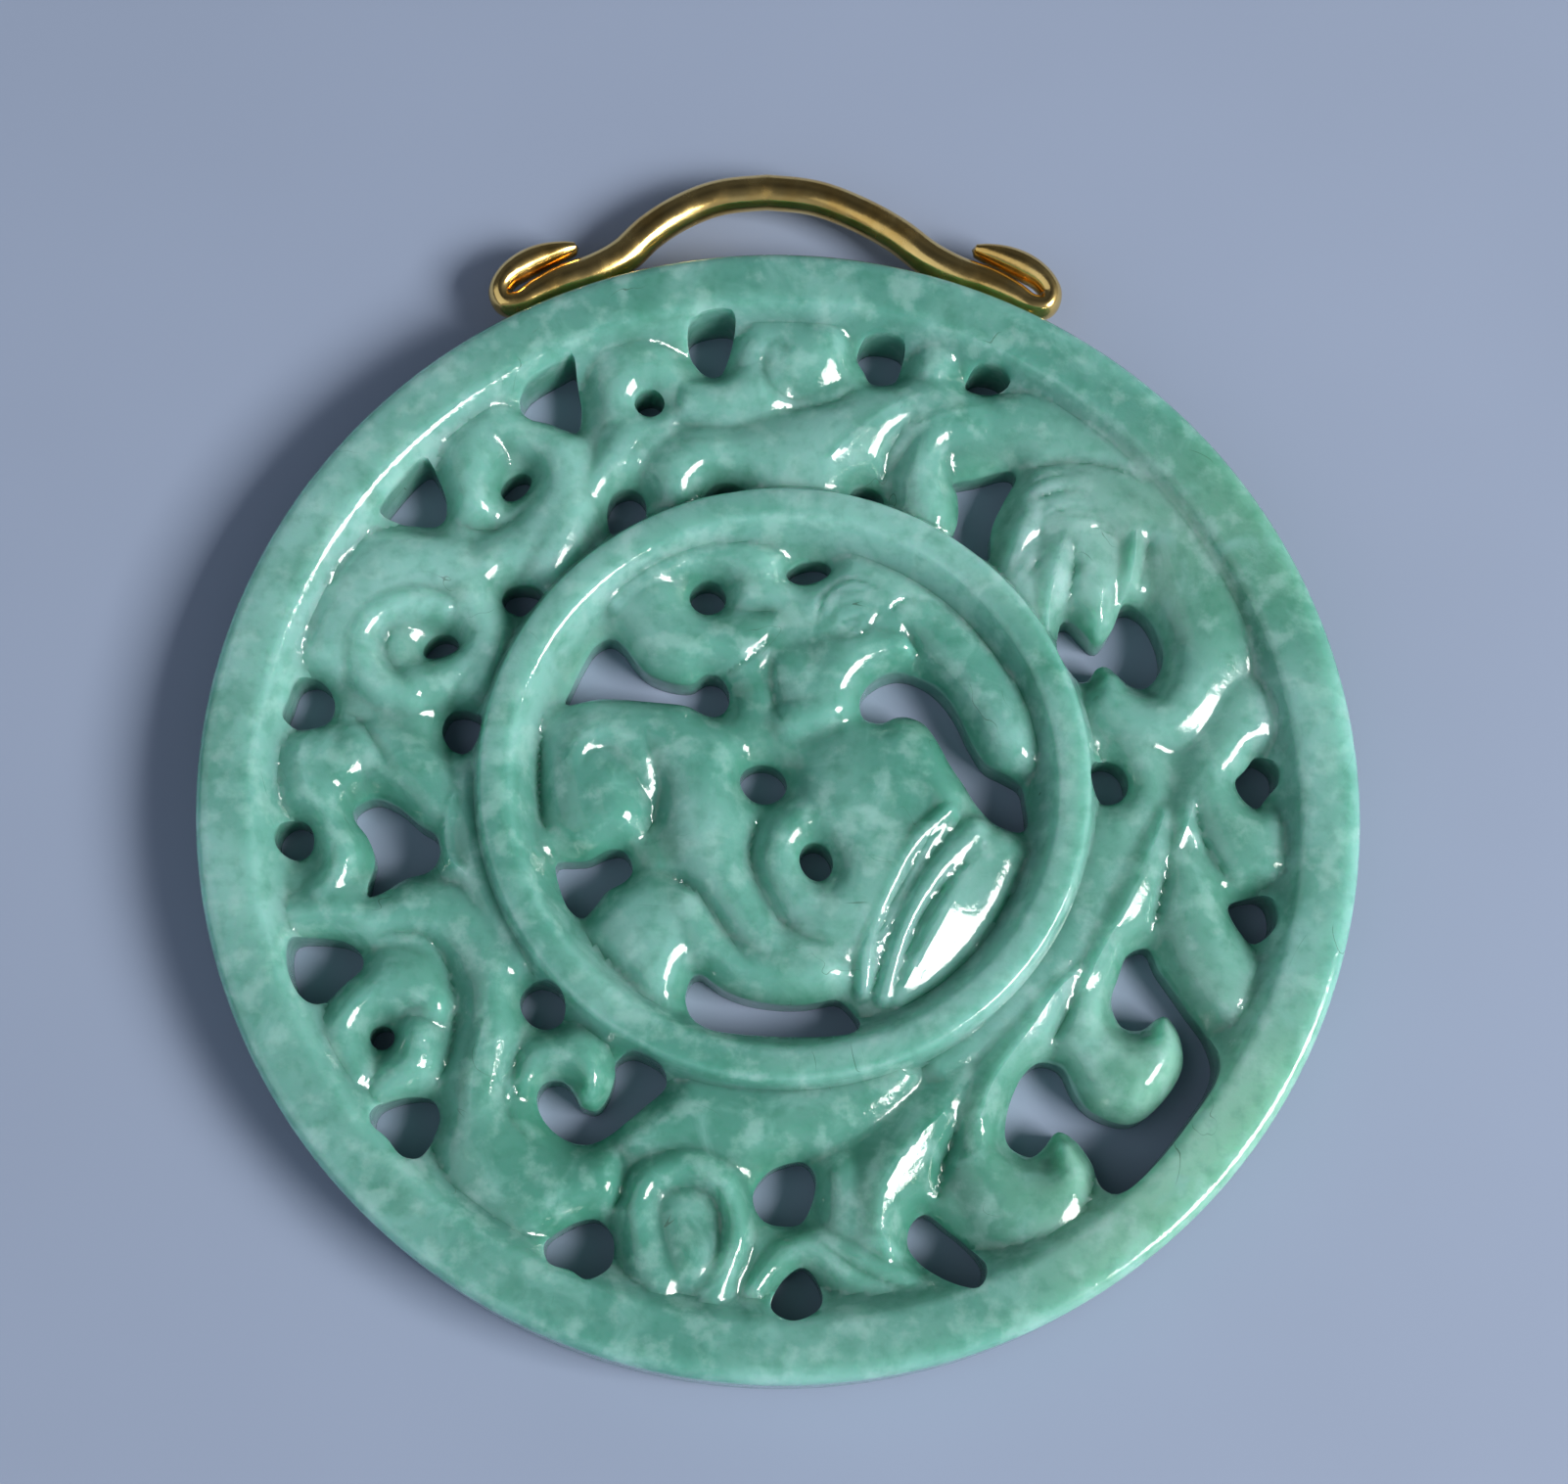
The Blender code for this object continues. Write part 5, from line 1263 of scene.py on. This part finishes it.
@dataclass(frozen=True)
class FloorFinish:
    """Plain pale matt floor."""

    colour: Colour = (0.285, 0.345, 0.475)
    lift: float = 1.04

    def material(self) -> bpy.types.Material:
        """Make the floor's material.

        Returns:
            The new material.
        """
        tree = Tree("floor")
        tone = tree.ramp(tree.noise(0.03, 3), 0.3, 0.7)
        lighter = tuple(min(1.0, part * self.lift) for part in self.colour)
        tree.link(tree.mix(tone, self.colour, lighter), tree.shader.inputs["Base Color"])
        tree.set(Roughness=0.8)
        return tree.material


@dataclass(frozen=True)
class Lamp:
    """A soft lamp that faces the pendant: its place, width and height, watts and colour."""

    name: str
    place: tuple[float, float, float]
    size: tuple[float, float]
    power: float
    colour: Colour

    def hang(self) -> None:
        """Hang the lamp in the scene."""
        data = bpy.data.lights.new(self.name, "AREA")
        data.shape = "RECTANGLE"
        data.size, data.size_y = self.size
        data.energy = self.power
        data.color = self.colour
        lamp = bpy.data.objects.new(self.name, data)
        lamp.location = self.place
        lamp.rotation_euler = (-Vector(self.place)).to_track_quat("-Z", "Y").to_euler()
        bpy.context.scene.collection.objects.link(lamp)


@dataclass
class Studio:
    """The floor, the lights and the camera."""

    plan: DiscPlan = field(default_factory=DiscPlan)
    eye: tuple[float, float, float] = (-0.004517, -0.035032, 0.14011)
    looking: tuple[float, float, float] = (0.0329, 0.26416, -0.96392)
    upward: tuple[float, float, float] = (-0.0002, 0.96444, 0.2643)
    lens: float = 68.54
    floor_half: float = 2.0
    room_strength: float = 0.32
    room_colour: Colour = (0.66, 0.74, 0.88)
    overhead: float = 0.4
    window_side: tuple[float, float, float] = (0.45, -0.80, 0.0)
    lamps: tuple[Lamp, ...] = (
        Lamp("window", (0.48, -0.20, 0.44), (0.32, 0.26), 5.8, (1.0, 0.98, 0.95)),
        Lamp("far wall", (-0.55, -0.10, 0.55), (0.9, 0.9), 1.5, (0.86, 0.92, 1.0)),
    )

    def floor(self) -> None:
        """Lay the floor under the disc."""
        h = self.floor_half
        corners = np.array([[-h, -h, 0], [h, -h, 0], [h, h, 0], [-h, h, 0]])
        floor = add_mesh("floor", corners, [[0, 1, 2, 3]])
        floor.data.materials.append(FloorFinish().material())

    def camera(self) -> None:
        """Set up the camera at the photograph's place."""
        data = bpy.data.cameras.new("camera")
        data.sensor_width = 36
        data.lens = self.lens
        data.clip_start = 0.002
        back = -Vector(self.looking).normalized()
        right = Vector(self.upward).cross(back).normalized()
        up = back.cross(right)
        camera = bpy.data.objects.new("camera", data)
        turn = Matrix((right, up, back)).transposed().to_4x4()
        camera.matrix_world = Matrix.Translation(Vector(self.eye) + Vector(self.plan.origin)) @ turn
        bpy.context.scene.collection.objects.link(camera)
        bpy.context.scene.camera = camera

    def room(self) -> None:
        """Light the room, brighter towards the window and dim overhead."""
        tree = Tree("room", bpy.data.worlds.new("room"))
        facing = tree.add("ShaderNodeVectorMath", operation="DOT_PRODUCT")
        tree.link(tree.place, facing.inputs[0])
        facing.inputs[1].default_value = self.window_side
        strength = tree.add("ShaderNodeMath", operation="MULTIPLY")
        tree.link(tree.ramp(facing.outputs["Value"], -0.6, 0.6, 0.25, 1.3), strength.inputs[0])
        dim = self.overhead * self.room_strength
        tree.link(tree.ramp(tree.height(), 0.60, 0.93, self.room_strength, dim), strength.inputs[1])
        tree.set(Color=(*self.room_colour, 1))
        tree.link(strength.outputs["Value"], tree.shader.inputs["Strength"])
        bpy.context.scene.world = bpy.data.worlds["room"]

    def build(self) -> None:
        """Set up the whole studio."""
        self.floor()
        self.camera()
        for lamp in self.lamps:
            lamp.hang()
        self.room()
        bpy.context.scene.view_settings.view_transform = "Standard"


def dress(piece: bpy.types.Object, node: str, material: bpy.types.Material) -> None:
    """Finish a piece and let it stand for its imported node.

    Args:
        piece: the piece.
        node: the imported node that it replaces.
        material: its finish.
    """
    piece.data.materials.append(material)
    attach(piece, "root")
    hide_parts(node)
    LOG.info("%s: %d vertices, stands for %s", piece.name, len(piece.data.vertices), node)


def main() -> None:
    """Build the pendant and its studio, and note the sizes."""
    logging.basicConfig(level=logging.INFO, format="%(name)s: %(message)s")
    LOG.info("packed model: %d nodes", len(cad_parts))
    dress(JadeDisc().build(), "carved_jade_disc", JadeFinish().material())
    dress(GoldBail().build(), "gold_bail", GoldFinish().material())
    Studio().build()


if __name__ == "__main__":
    main()
